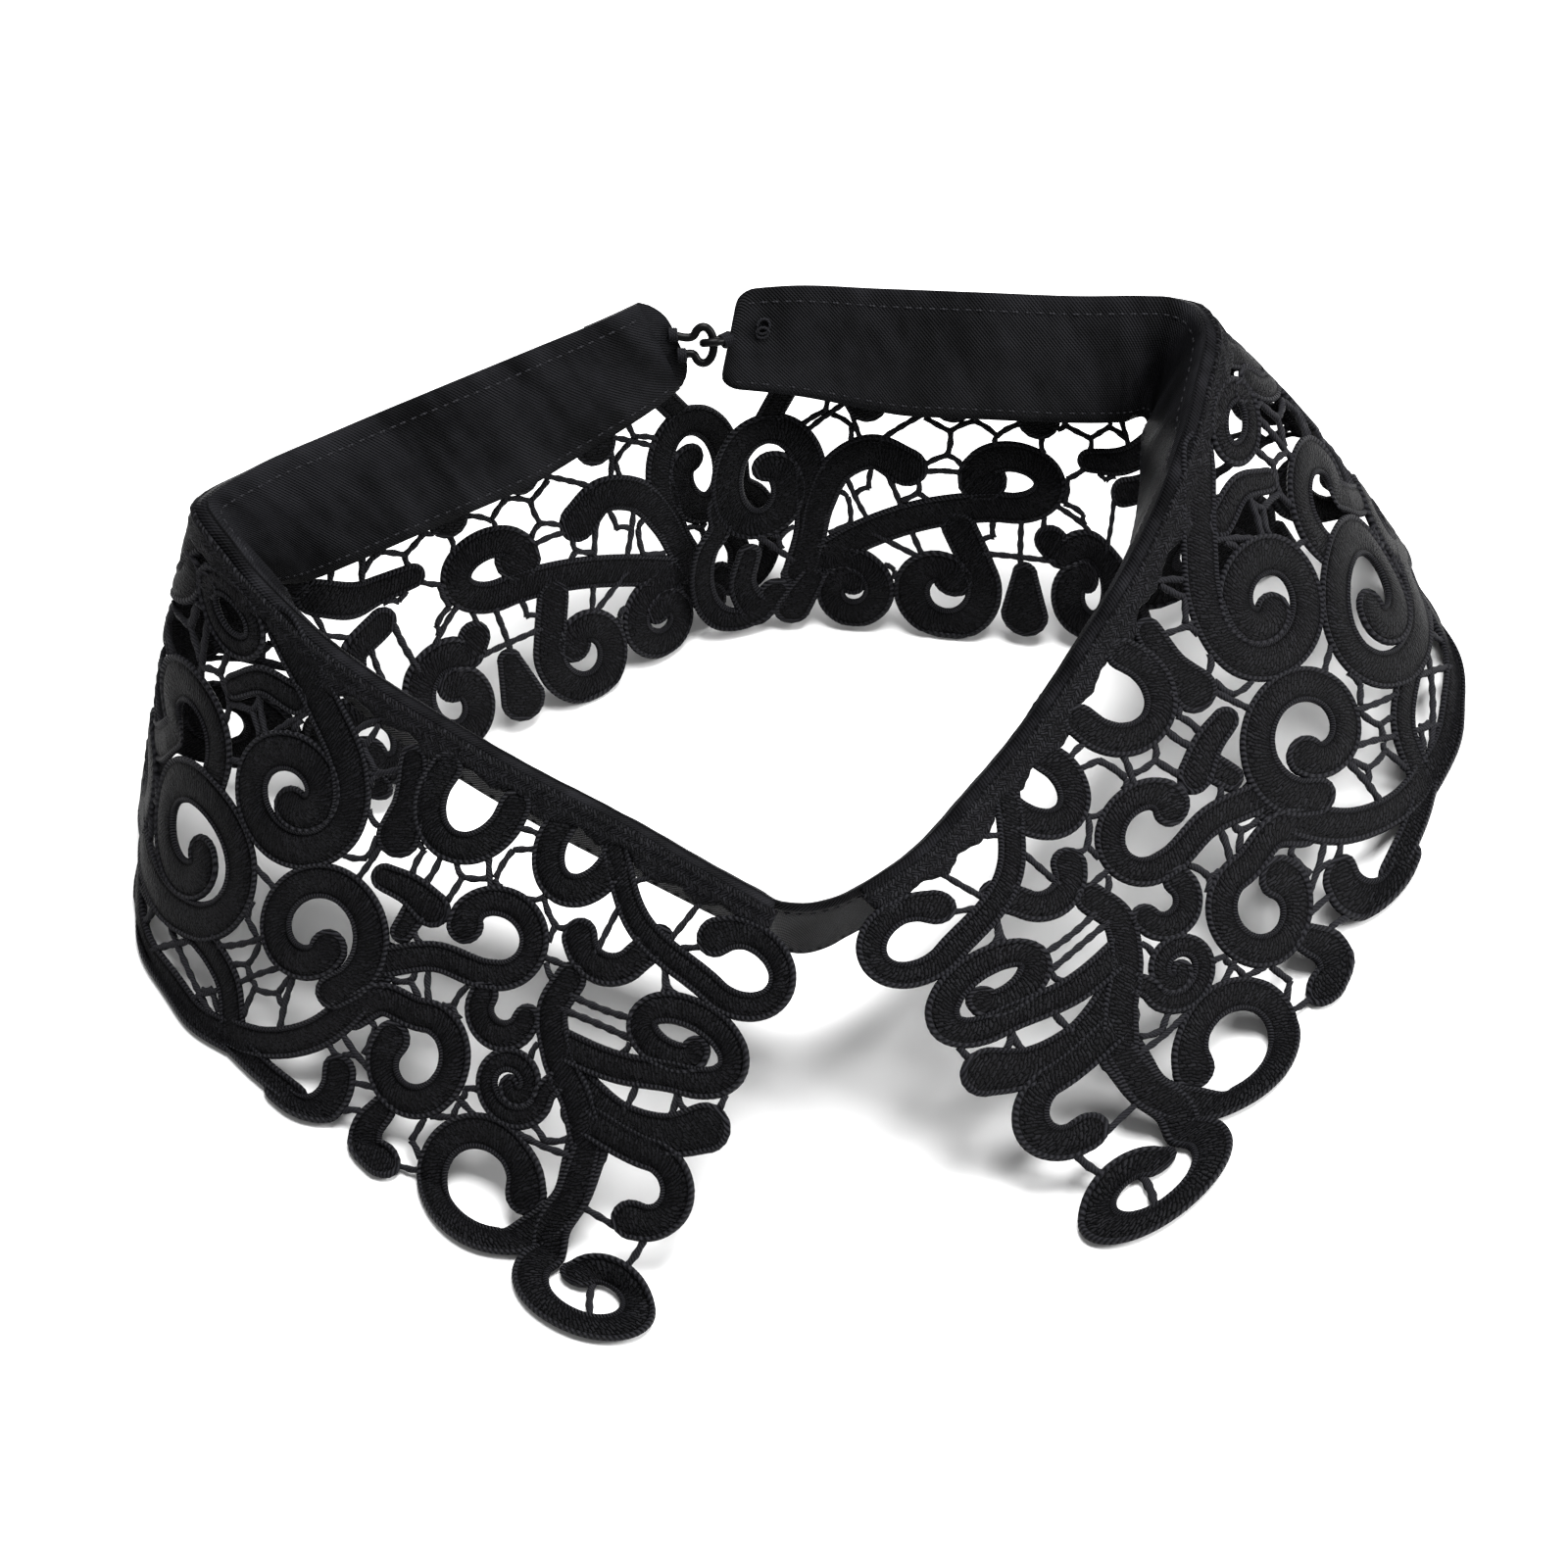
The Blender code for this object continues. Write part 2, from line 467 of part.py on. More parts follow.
# The neckband.
# Columns: s along the roll line, how far the band's foot stands in from its top, its top's height over the roll line.
BAND_SET = ((0, 6.8, -1.8), (60, 7.4, -1.6), (90, 8.0, -0.4), (112, 10.4, 1.9), (190, 10.4, 1.9))
STAND_START, STAND_END = 170.0, 178.0
SLANT_LEFT, SLANT_RIGHT, TAB_LEFT = 2.4, 3.0, 2.8
END_HIGH, END_LONG = 0.76, 26.0
SLANT_LONG, MITRE_LONG = 20.0, 15.0


def roll_loop():
    """The roll line from the left back end round the front to the right back end, with s of each point."""
    left_s = np.arange(STAND_START, 0.9, -STAND_STEP)
    right_s = np.append(np.arange(1.0, STAND_END - 1, STAND_STEP), STAND_END)
    near_fold = FOLD_AT + np.arange(-4, 5) * STAND_STEP / 2
    left_s, right_s = (np.unique(np.append(some[np.abs(some - FOLD_AT) > STAND_STEP * 2.3], near_fold))
                       for some in (left_s, right_s))
    left_s = left_s[::-1]
    left = spline(LEFT.knots, LEFT.roll, left_s)
    right = spline(RIGHT.knots, RIGHT.roll, right_s)
    left_end, right_end = left[-1], right[0]
    bend = (left_end + right_end) / 2 + np.array([0.0, -3.0, -0.4])
    front = [left_end * (1 - u) ** 2 + bend * 2 * u * (1 - u) + right_end * u**2 for u in (0.2, 0.4, 0.6, 0.8)]
    return np.vstack([left, front, right]), np.concatenate([left_s, np.zeros(4), right_s])


def level_inward(loop, from_left, reach):
    """Unit directions into the ring, across the run between the points a reach before and after."""
    before = np.stack([np.interp(from_left - reach, from_left, loop[:, k]) for k in (0, 1)], axis=1)
    after = np.stack([np.interp(from_left + reach, from_left, loop[:, k]) for k in (0, 1)], axis=1)
    run = (after - before) / np.linalg.norm(after - before, axis=1, keepdims=True)
    return np.stack([-run[:, 1], run[:, 0], np.zeros(len(run))], axis=1)


def stand_sections():
    """Top and foot of the band at each station, mitred at the folds, and the level inward direction there."""
    loop, s = roll_loop()
    steps = np.linalg.norm(np.diff(loop, axis=0), axis=1)
    from_left = np.concatenate([[0], np.cumsum(steps)])
    inward = level_inward(loop, from_left, MITRE_LONG)
    square = level_inward(loop, from_left, 1.5)
    mitre = 1 / np.clip(np.sum(inward * square, axis=1), 0.62, 1)
    at = [row[0] for row in BAND_SET]
    foot_in = np.interp(s, at, [row[1] for row in BAND_SET])
    top = loop + inward * ((LACE_THICK / 2 + GAP + STAND_THICK / 2) * mitre)[:, None]
    top[:, 2] += np.interp(s, at, [row[2] for row in BAND_SET])
    from_end = np.minimum(from_left, from_left[-1] - from_left)
    high = END_HIGH + (1 - END_HIGH) * np.clip(from_end / END_LONG, 0, 1) ** 0.8
    foot = top + inward * (foot_in * high * mitre)[:, None]
    foot[:, 2] -= np.sqrt(STAND_HIGH**2 - foot_in**2) * high
    run = np.stack([inward[:, 1], -inward[:, 0], np.zeros(len(s))], axis=1)
    for end, slant, way in ((0, SLANT_LEFT, -1), (len(s) - 1, SLANT_RIGHT, 1)):
        near = np.clip(1 - np.abs(from_left - from_left[end]) / SLANT_LONG, 0, 1) ** 1.5
        foot += run * (way * slant * near)[:, None]
    tab = -run * (TAB_LEFT * np.clip(1 - from_left / SLANT_LONG, 0, 1) ** 1.5)[:, None]
    return top, foot, inward, tab


def add_stand(look):
    top, foot, inward, tab = stand_sections()
    count, rows = len(top), 2
    middle = np.zeros((count, rows + 1, 3))
    for j in range(rows + 1):
        u = j / rows
        middle[:, j] = top * (1 - u) + foot * u + (inward * 0.4 + tab) * math.sin(math.pi * u)
    along_run = np.gradient(middle, axis=0)
    down = np.gradient(middle, axis=1)
    normal = np.cross(along_run, down)
    normal /= np.linalg.norm(normal, axis=-1, keepdims=True)
    faces = []
    for i in range(count - 1):
        for j in range(rows):
            a = i * (rows + 1) + j
            faces.append((a, a + rows + 1, a + rows + 2, a + 1))
    middle, normal = middle.reshape(-1, 3), normal.reshape(-1, 3)
    a, b, c = (middle[faces[0][i]] for i in range(3))
    if np.dot(np.cross(b - a, c - a), normal[faces[0][0]]) < 0:
        faces = [tuple(reversed(f)) for f in faces]
    return add_object("stand", *thick_shell(middle, normal, faces, STAND_THICK), look)


# The wire hook and eye.
# Columns: x y z of the wire's centre line.
HOOK_PATH = ((-8.65, 66.16, 45.44), (-9.4, 65.39, 45.9), (-10.6, 64.87, 46.2), (-11.9, 65.03, 45.88),
             (-12.2, 65.9, 45.0), (-12.0, 66.7, 44.3))
EYE_CENTRE, EYE_HALF_WIDE, EYE_HALF_TALL, EYE_LEAN = (-12.2, 65.75, 44.75), 1.6, 2.8, 31.0
EYE_LEG, EYE_OPENING = 2.0, 34


def wire(name, points, radius, closed, look):
    curve = bpy.data.curves.new(name, "CURVE")
    curve.dimensions = "3D"
    curve.bevel_depth = radius * MM
    curve.bevel_resolution = 1
    curve.use_fill_caps = not closed
    line = curve.splines.new("POLY")
    line.points.add(len(points) - 1)
    for knot, (x, y, z) in zip(line.points, np.asarray(points) - ORIGIN):
        knot.co = (x * MM, y * MM, z * MM, 1)
    line.use_cyclic_u = closed
    curve.materials.append(look)
    obj = bpy.data.objects.new(name, curve)
    collection.objects.link(obj)
    return obj


def eye_points():
    """A ring left open on the band's side, where its two legs go in."""
    lean = math.radians(EYE_LEAN)
    turns = [180 - EYE_OPENING - (360 - 2 * EYE_OPENING) * i / 16 for i in range(17)]
    flat = [(EYE_HALF_WIDE * math.cos(math.radians(a)), EYE_HALF_TALL * math.sin(math.radians(a))) for a in turns]
    flat = [(flat[0][0] - EYE_LEG, flat[0][1])] + flat + [(flat[-1][0] - EYE_LEG, flat[-1][1])]
    x, y, z = EYE_CENTRE
    return [(x + across, y + up * math.sin(lean), z + up * math.cos(lean)) for across, up in flat]


clear_scene()
collection = bpy.data.collections.new("lace_collar")
bpy.context.scene.collection.children.link(collection)
THREAD = (0.012, 0.012, 0.014)
flat_points, flat_faces = cloth_triangles()
add_lace("lace_left", LEFT, flat_points, flat_faces, material("lace_left", THREAD, 0.8))
add_lace("lace_right", RIGHT, flat_points, flat_faces, material("lace_right", THREAD, 0.8))
add_stand(material("stand", (0.02, 0.02, 0.024), 0.65))
wire("eye", eye_points(), WIRE_RADIUS, False, material("eye", (0.03, 0.03, 0.035), 0.4))
wire("hook", HOOK_PATH, WIRE_RADIUS, False, material("hook", (0.03, 0.03, 0.035), 0.4))
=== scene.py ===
"""Looks of the lace collar: guipure lace halves, twill neckband, hook and eye, as photographed on a white table."""

import math

import bpy
import numpy as np
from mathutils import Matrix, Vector


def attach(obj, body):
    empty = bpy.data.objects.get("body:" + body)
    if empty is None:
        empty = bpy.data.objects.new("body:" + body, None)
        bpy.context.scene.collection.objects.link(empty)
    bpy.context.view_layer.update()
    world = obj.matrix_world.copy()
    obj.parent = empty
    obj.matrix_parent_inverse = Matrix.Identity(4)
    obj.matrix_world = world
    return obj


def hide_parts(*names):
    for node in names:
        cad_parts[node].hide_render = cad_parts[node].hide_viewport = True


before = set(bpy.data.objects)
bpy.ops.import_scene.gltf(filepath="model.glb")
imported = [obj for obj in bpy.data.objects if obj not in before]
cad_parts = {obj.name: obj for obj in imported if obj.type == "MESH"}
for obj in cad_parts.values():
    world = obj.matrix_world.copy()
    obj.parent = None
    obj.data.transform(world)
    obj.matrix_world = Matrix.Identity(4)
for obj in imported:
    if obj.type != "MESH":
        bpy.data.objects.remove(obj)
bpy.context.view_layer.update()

# The table, the light and the camera.
# The collar stands on a white sheet under a large soft light from above and one from the right, and the camera
# looks down on it from the front, half way to overhead.
MM = 0.001
CAMERA_DISTANCE = 650 * MM
CAMERA_RISE = math.radians(50)
CAMERA_AIM = Vector((-4.13, 5.1, 20)) * MM
CAMERA_LENS = 102.4


def add_floor():
    side = 6.0
    mesh = bpy.data.meshes.new("table")
    mesh.from_pydata([(-side, -side, 0), (side, -side, 0), (side, side, 0), (-side, side, 0)], [], [(0, 1, 2, 3)])
    floor = bpy.data.objects.new("table", mesh)
    bpy.context.scene.collection.objects.link(floor)
    floor.location.z = -0.0002
    paper = bpy.data.materials.new("white_sheet")
    paper.use_nodes = True
    shader = paper.node_tree.nodes["Principled BSDF"]
    shader.inputs["Base Color"].default_value = (0.93, 0.93, 0.93, 1)
    shader.inputs["Roughness"].default_value = 0.9
    mesh.materials.append(paper)


def add_light(name, place, aim, size, power):
    lamp = bpy.data.lights.new(name, "AREA")
    lamp.shape, lamp.size, lamp.energy = "SQUARE", size, power
    obj = bpy.data.objects.new(name, lamp)
    obj.location = place
    obj.rotation_euler = (Vector(aim) - Vector(place)).to_track_quat("-Z", "Y").to_euler()
    bpy.context.scene.collection.objects.link(obj)


def add_camera():
    camera = bpy.data.cameras.new("camera")
    camera.lens, camera.sensor_width, camera.sensor_fit = CAMERA_LENS, 36.0, "HORIZONTAL"
    camera.clip_start, camera.clip_end = 0.05, 50.0
    obj = bpy.data.objects.new("camera", camera)
    away = Vector((0, -math.cos(CAMERA_RISE), math.sin(CAMERA_RISE))) * CAMERA_DISTANCE
    obj.location = CAMERA_AIM + away
    obj.rotation_euler = (-away).to_track_quat("-Z", "Y").to_euler()
    bpy.context.scene.collection.objects.link(obj)
    bpy.context.scene.camera = obj


add_floor()
add_light("light_above", (0.15, 0.3, 1.3), (0, 0, 0), 0.8, 36)
add_light("light_right", (1.1, -0.1, 0.75), (0, 0, 0.02), 0.55, 19)
world = bpy.data.worlds.new("white_room")
world.use_nodes = True
world.node_tree.nodes["Background"].inputs["Color"].default_value = (1, 1, 1, 1)
world.node_tree.nodes["Background"].inputs["Strength"].default_value = 0.34
bpy.context.scene.world = world
bpy.context.scene.view_settings.view_transform = "Standard"
add_camera()

# The two lace halves.
# Each is a strip of black guipure: scrolls filled with rows of stitches inside a raised edge cord, joined by twisted
# thread bars once the ground cloth is dissolved away. The halves are mirror images and hang from the roll line.
ORIGIN = (4.13, -5.1, 0.0)
DEPTH = 58.0
LACE_THICK = 1.5
BAR_WIDE = 1.2
BAR_STEP = 5.2
BAR_REACH = 9.0
HEADING_WIDE = 3.6
FOLD_AT = 105.0
FOLD_WIDE = 6.0
FAN_AT_HEM = 2.5
CELL_S, CELL_T = 0.4, 0.5
NECK_FILLET = 1.2
THREAD_DARK, THREAD_LIGHT = (0.0002, 0.0002, 0.0003), (0.0145, 0.0145, 0.017)

# Cross sections of each half. Columns: s along the roll line from the front edge, roll x y z, hem x y z, bulge.
LEFT_ROWS = (
    (0, -0.7, -34.8, 34.0, -27.1, -75.6, -1.5, 1.0),
    (13, -11.5, -27.3, 34.0, -40.3, -67.8, -1.5, 1.0),
    (28, -23.7, -19.1, 35.0, -52.7, -57.4, -0.8, 1.0),
    (42, -35.9, -12.8, 37.0, -64.4, -47.6, 0.0, 1.0),
    (56, -48.1, -6.5, 40.0, -76.9, -36.9, 0.0, 1.0),
    (70, -60.1, 0.5, 43.0, -87.1, -27.2, 0.0, 1.0),
    (84, -70.8, 8.1, 47.0, -94.8, -13.1, 0.0, 1.0),
    (94, -79.0, 15.8, 51.0, -96.2, 1.2, 0.0, 1.0),
    (101, -84.3, 23.7, 54.0, -95.2, 15.3, 0.0, 1.0),
    (103.5, -83.2, 26.2, 53.6, -91.5, 18.2, 0.0, 1.0),
    (109, -78.0, 31.9, 52.4, -64.0, 10.6, 0.0, 1.0),
    (120.5, -65.9, 41.0, 51.2, -51.2, 19.0, 0.0, 1.0),
    (136.5, -52.1, 50.5, 50.2, -37.0, 28.4, 0.0, 1.0),
    (153, -38.0, 59.8, 49.4, -23.6, 37.4, 0.0, 1.0),
    (166, -26.5, 67.0, 49.2, -13.4, 46.2, 0.0, 1.0),
    (173, -20.5, 71.2, 49.2, -8.5, 51.8, 0.0, 1.0),
    (180, -15.0, 75.4, 49.2, -3.0, 56.4, 0.0, 1.0),
    (188, -8.5, 79.6, 49.2, 3.8, 61.0, 0.0, 1.0),
)
RIGHT_ROWS = (
    (0, 10.6, -32.2, 34.0, 51.6, -57.2, -1.5, 1.0),
    (11, 19.3, -24.8, 34.0, 63.3, -45.2, -1.5, 1.0),
    (24, 27.7, -13.4, 34.0, 73.0, -32.5, -0.8, 1.0),
    (37, 35.7, -2.2, 35.0, 81.8, -18.4, 0.0, 1.0),
    (51, 43.9, 11.4, 37.0, 92.9, 2.7, 0.0, 1.0),
    (64.5, 51.4, 24.1, 40.0, 100.4, 20.0, 0.0, 1.0),
    (78, 57.7, 38.0, 43.0, 104.3, 35.8, 0.0, 1.6),
    (92, 62.8, 54.3, 46.0, 101.2, 53.4, 0.0, 2.0),
    (102, 64.4, 65.8, 49.0, 95.6, 67.7, 0.0, 1.8),
    (105, 62.8, 68.2, 50.0, 91.0, 69.6, 0.0, 1.4),
    (109, 60.0, 70.0, 50.0, 76.0, 59.0, 0.0, 1.0),
    (115, 55.6, 70.6, 50.0, 58.0, 45.0, 0.0, 1.0),
    (127, 44.2, 70.4, 50.2, 45.5, 43.6, 0.0, 1.0),
    (142, 29.5, 71.2, 50.2, 30.3, 45.6, 0.0, 1.0),
    (156.5, 14.8, 72.0, 50.2, 15.0, 47.6, 0.0, 1.0),
    (171.5, 0.0, 72.8, 50.0, 0.5, 48.0, 0.0, 0.8),
    (177.5, -6.4, 72.4, 49.6, -6.4, 46.6, 0.0, 0.2),
    (185.5, -14.1, 71.0, 49.2, -14.2, 43.8, 0.0, -0.6),
)

# The lace pattern, flat: s along the roll line, t down from it, as on the left half. Angles open from +s to +t.
# Columns: name, centre s, centre t, radius, tall, start, sweep, inner, width, end width, lead-in points.
SCROLLS = (
    ("front_lobe", 1.0, 9.2, 6.2, 0.74, 60, 270, 1.0, 4.0, 5.6, ((27, 2.5), (18, 10))),
    ("long_spiral", 4.0, 21.3, 8.4, 0.56, 100, 430, 0.3, 4.4, 4.2, ((19, 29.5), (9, 28))),
    ("hook_lobe", 0.2, 41.5, 5.4, 0.95, -70, -190, 0.8, 4.6, 5.4, ((12, 36),)),
    ("tip", -0.4, 57.4, 7.9, 0.92, -20, 345, 0.42, 4.6, 4.8, ((8, 40), (7.4, 46), (7.9, 51))),
    ("ellipse", 18.8, 51.0, 9.0, 0.88, 165, -322, 0.7, 4.8, 5.8, ((9, 40), (7.6, 47))),
    ("ball", 21.8, 37.6, 5.0, 0.84, 200, -500, 0.15, 3.4, 3.4, ((15.5, 32.5),)),
    ("small_hook", 28.4, 30.0, 3.7, 0.95, 190, -195, 1.0, 4.4, 4.4, ()),
    ("comma_front", 35.2, 21.8, 6.6, 0.84, 110, 265, 0.66, 4.4, 5.4, ((47, 33.5), (41, 28.8))),
    ("loop_1", 29.8, 5.0, 4.9, 1.35, 195, -210, 1.0, 4.8, 4.8, ()),
    ("loop_2", 47.2, 6.5, 5.8, 1.3, 195, -210, 1.0, 4.8, 4.8, ()),
    ("low_arc", 19.8, 13.4, 5.0, 0.95, 170, -135, 1.0, 4.6, 5.4, ((13.5, 11.0),)),
    ("circle", 57.3, 35.2, 8.8, 1.0, 140, 385, 0.36, 5.2, 5.8, ()),
    ("hem_hook", 48.8, 53.2, 4.9, 1.14, 215, -140, 1.0, 4.8, 4.8, ()),
    ("eye_scroll", 36.2, 42.6, 6.0, 1.08, -60, -310, 0.72, 4.8, 5.2, ((47, 42), (44.5, 38))),
    ("side_a", 70.3, 19.8, 9.0, 0.88, 200, -455, 0.24, 5.8, 6.0, ((84, 1.5), (73, 6.5), (65, 12))),
    ("side_b", 81.5, 38.0, 11.0, 0.85, 110, 450, 0.24, 5.6, 5.6, ((97, 51.5), (89, 49.5))),
    ("arch", 90.4, 27.6, 7.4, 1.0, 178, 225, 0.62, 5.2, 6.0, ()),
    ("side_ring", 91.0, 6.5, 4.4, 0.75, 0, 360, 1.0, 3.6, 3.6, ()),
    ("fold_ring", 102.0, 9.0, 5.0, 1.2, 190, -200, 1.0, 4.4, 4.4, ()),
    ("fold_a", 98.6, 46.5, 6.2, 1.1, 60, 400, 0.34, 5.4, 5.8, ()),
    ("fold_b", 105.0, 45.5, 6.4, 1.15, 200, -400, 0.34, 5.4, 5.8, ()),
    ("fold_c", 112.0, 46.5, 6.2, 1.1, 120, 400, 0.34, 5.4, 5.8, ()),
    ("fold_d", 104.5, 25.5, 5.6, 1.1, 100, 380, 0.4, 5.0, 5.8, ()),
    ("back_loop_1", 113.5, 6.0, 5.0, 1.3, 195, -210, 1.0, 4.4, 4.4, ()),
    ("back_loop_2", 126.5, 6.0, 5.0, 1.3, 195, -210, 1.0, 4.4, 4.4, ()),
    ("back_loop_3", 139.5, 6.0, 5.0, 1.3, 195, -210, 1.0, 4.4, 4.4, ()),
    ("back_loop_4", 152.5, 6.0, 5.0, 1.3, 195, -210, 1.0, 4.4, 4.4, ()),
    ("back_loop_5", 165.5, 6.0, 5.0, 1.3, 195, -210, 1.0, 4.4, 4.4, ()),
    ("back_c", 125.0, 47.8, 6.0, 1.25, -50, -380, 0.34, 5.4, 5.8, ((131, 40),)),
    ("teardrop", 138.0, 30.5, 7.4, 0.66, 80, 290, 0.5, 5.2, 7.8, ((168, 47), (158, 40.8), (149, 37))),
    ("comma_back", 147.3, 49.4, 6.2, 1.1, 215, -350, 0.36, 5.4, 6.2, ((145, 39),)),
    ("curl", 161.5, 51.0, 5.2, 0.98, -65, -400, 0.3, 4.8, 4.8, ((170, 48.5), (166, 45.6))),
    ("end_ring", 174.3, 32.5, 6.7, 1.45, 170, 440, 0.3, 5.2, 5.2, ((169.5, 48), (167.8, 41))),
    ("end_foot", 178.0, 46.2, 6.0, 1.42, -60, 205, 1.0, 4.0, 4.6, ((181.3, 35),)),
)
# Columns: name, start width, end width, points.
STEMS = (
    ("blob_lobe", 6.8, 4.2, ((-4.2, 30.0), (-0.5, 33.0), (6, 34.3), (13, 32.6))),
    ("trunk", 5.0, 4.8, ((22, 21.6), (22.2, 26), (18.6, 30.6), (12.5, 34.8), (8, 40))),
    ("drop", 4.2, 6.6, ((57.5, 6), (54.6, 12), (53.8, 16.6))),
    ("bird", 5.4, 4.2, ((44.6, 23.2), (48.4, 22.4), (52.4, 22.8))),
    ("bird_foot", 4.0, 3.4, ((46.4, 23.5), (46.6, 28.2))),
    ("long_stem", 4.6, 4.6, ((46.6, 32.5), (47.2, 40), (50, 47.6), (55.6, 53), (63, 55.6))),
    ("hem_stem", 4.6, 4.6, ((48.6, 57.4), (55, 57), (62, 55.6))),
    ("hem_blob", 6.4, 4.0, ((33.6, 57.6), (36.4, 57.2), (37.6, 54.6), (37.0, 51))),
    ("leaf_top", 4.4, 4.4, ((61, 54.8), (66, 48.8), (74, 46.8), (82, 49), (92, 53))),
    ("leaf_low", 5.6, 4.4, ((61, 55.8), (67.5, 57), (75, 56.4), (84, 56.8), (93, 53.2))),
    ("arch_foot", 4.4, 4.4, ((93, 30.5), (95, 36), (97.5, 40))),
    ("side_leaf", 4.6, 3.6, ((77, 8.5), (83, 10), (86.5, 14.5))),
    ("fold_leaf", 4.0, 5.4, ((108.4, 6), (109, 14), (109.5, 19))),
    ("back_leaf", 6.0, 4.0, ((111.5, 22), (117, 25.5), (125, 26.5))),
    ("back_drop_1", 4.0, 6.4, ((120, 5), (120, 16.5))),
    ("back_drop_2", 4.0, 7.0, ((133, 5), (133, 20))),
    ("back_drop_3", 4.0, 6.4, ((146, 5), (146, 18.5))),
    ("back_drop_4", 4.0, 7.0, ((159, 5), (159, 19))),
    ("end_top", 4.0, 3.8, ((169, 12), (171.5, 17), (174.3, 22.5))),
    ("fold_spine", 5.0, 4.6, ((99.5, 3), (102.6, 14), (103.4, 26), (103.2, 40))),
    ("back_blob", 4.0, 7.4, ((135, 45.8), (135, 52.4))),
    ("arch_back", 6.6, 4.2, ((152.8, 29.6), (157.5, 27.4), (163, 30), (166.3, 36.5), (167.8, 44))),
    ("scallop", 4.4, 5.6, ((167.5, 49), (170.6, 54))),
    ("end_leaf", 3.6, 4.6, ((176.6, 44), (177.6, 49), (175.6, 54))),
    ("fold_blob_1", 4.4, 6.0, ((101.6, 50), (101.8, 55.4))),
    ("fold_blob_2", 4.4, 6.0, ((108.4, 50), (108.5, 55.4))),
    ("fold_blob_3", 4.4, 6.0, ((118, 49.5), (118, 55))),
    ("fold_net", 4.2, 5.0, ((112, 36), (113.5, 31.5), (118.5, 31))),
)
# Columns: the two ends of each twisted bar that is listed here, s t s t.
BARS = (
    (21.0, 9.5, 20.6, 17.5), (16.5, 12.6, 27.5, 14.6), (11.0, 21.6, 21.5, 23.4), (9.0, 24.0, 21.0, 25.6),
    (6.6, 28.5, 6.6, 34.5), (130.0, 43.2, 141.5, 43.2), (135.6, 38.0, 135.6, 47.0),
    (116.5, 37.4, 124.5, 34.6), (120.2, 31.0, 121.5, 41.0), (150.0, 20.5, 158.0, 26.5), (157.5, 20.5, 150.5, 26.5),
    (152.5, 43.6, 158.5, 40.6), (70.0, 53.2, 79.0, 50.0), (76.5, 51.0, 80.5, 56.0), (-1.6, 60.5, 0.4, 55.5),
)


def spline(knots, values, at):
    """Smooth curve through rows of values at uneven knots."""
    slope = np.gradient(values, knots, axis=0)
    i = np.clip(np.searchsorted(knots, at, side="right") - 1, 0, len(knots) - 2)
    h = (knots[i + 1] - knots[i])[..., None]
    u = ((at - knots[i])[..., None]) / h
    inside = ((2 * u**3 - 3 * u**2 + 1) * values[i] + (u**3 - 2 * u**2 + u) * h * slope[i]
              + (3 * u**2 - 2 * u**3) * values[i + 1] + (u**3 - u**2) * h * slope[i + 1])
    before = values[0] + (at - knots[0])[..., None] * slope[0]
    after = values[-1] + (at - knots[-1])[..., None] * slope[-1]
    return np.where((at < knots[0])[..., None], before, np.where((at > knots[-1])[..., None], after, inside))


class Leaf:
    """The hanging surface of one lace half: roll line, hem line and a slight outward bulge between them."""

    def __init__(self, rows, side):
        table = np.array(rows, float)
        self.knots, self.roll, self.hem, self.side = table[:, 0], table[:, 1:4], table[:, 4:7], side
        self.bulge = table[:, 7:8]

    def middle(self, s, t):
        s, t = np.asarray(s, float), np.asarray(t, float)
        roll, hem = spline(self.knots, self.roll, s), spline(self.knots, self.hem, s)
        u = (t / DEPTH)[..., None]
        flat = roll + (hem - roll) * u
        step = 1.0
        run = spline(self.knots, (self.roll + self.hem) / 2, s + step) - spline(
            self.knots, (self.roll + self.hem) / 2, s - step)
        out = np.cross(run, hem - roll) * self.side
        out /= np.linalg.norm(out, axis=-1, keepdims=True)
        bulge = np.interp(s, self.knots, self.bulge[:, 0])[..., None]
        point = flat + out * bulge * np.sin(np.pi * np.clip(u, 0, 1))
        point[..., 2] = np.maximum(point[..., 2], LACE_THICK / 2)
        return point

    def normal(self, s, t):
        along = self.middle(s + 0.5, t) - self.middle(s - 0.5, t)
        down = self.middle(s, t + 0.5) - self.middle(s, t - 0.5)
        out = np.cross(along, down) * self.side
        return out / np.linalg.norm(out, axis=-1, keepdims=True)


LEFT = Leaf(LEFT_ROWS, 1)
RIGHT = Leaf(RIGHT_ROWS, -1)


# The flat pattern.
def fan(s, t):
    """How much wider the cloth is at depth t than at the roll line, near the corner fold."""
    return 1 + FAN_AT_HEM * (t / DEPTH) * np.exp(-(((s - FOLD_AT) / FOLD_WIDE) ** 2))


def along(s, t, distance):
    """The s that lies a real distance from s at depth t."""
    reach = np.linspace(s - 30, s + 30, 241)
    length = np.concatenate([[0], np.cumsum(fan((reach[1:] + reach[:-1]) / 2, t) * np.diff(reach))])
    return float(np.interp(np.interp(s, reach, length) + distance, length, reach))


def smooth_path(points, widths, step=0.6):
    points = np.array(points, float)
    gaps = np.maximum(np.linalg.norm(np.diff(points, axis=0), axis=1), 1e-3)
    knots = np.concatenate([[0], np.cumsum(gaps)])
    at = np.linspace(0, knots[-1], max(4, int(knots[-1] / step)))
    return spline(knots, points, at), np.interp(at, knots, widths)


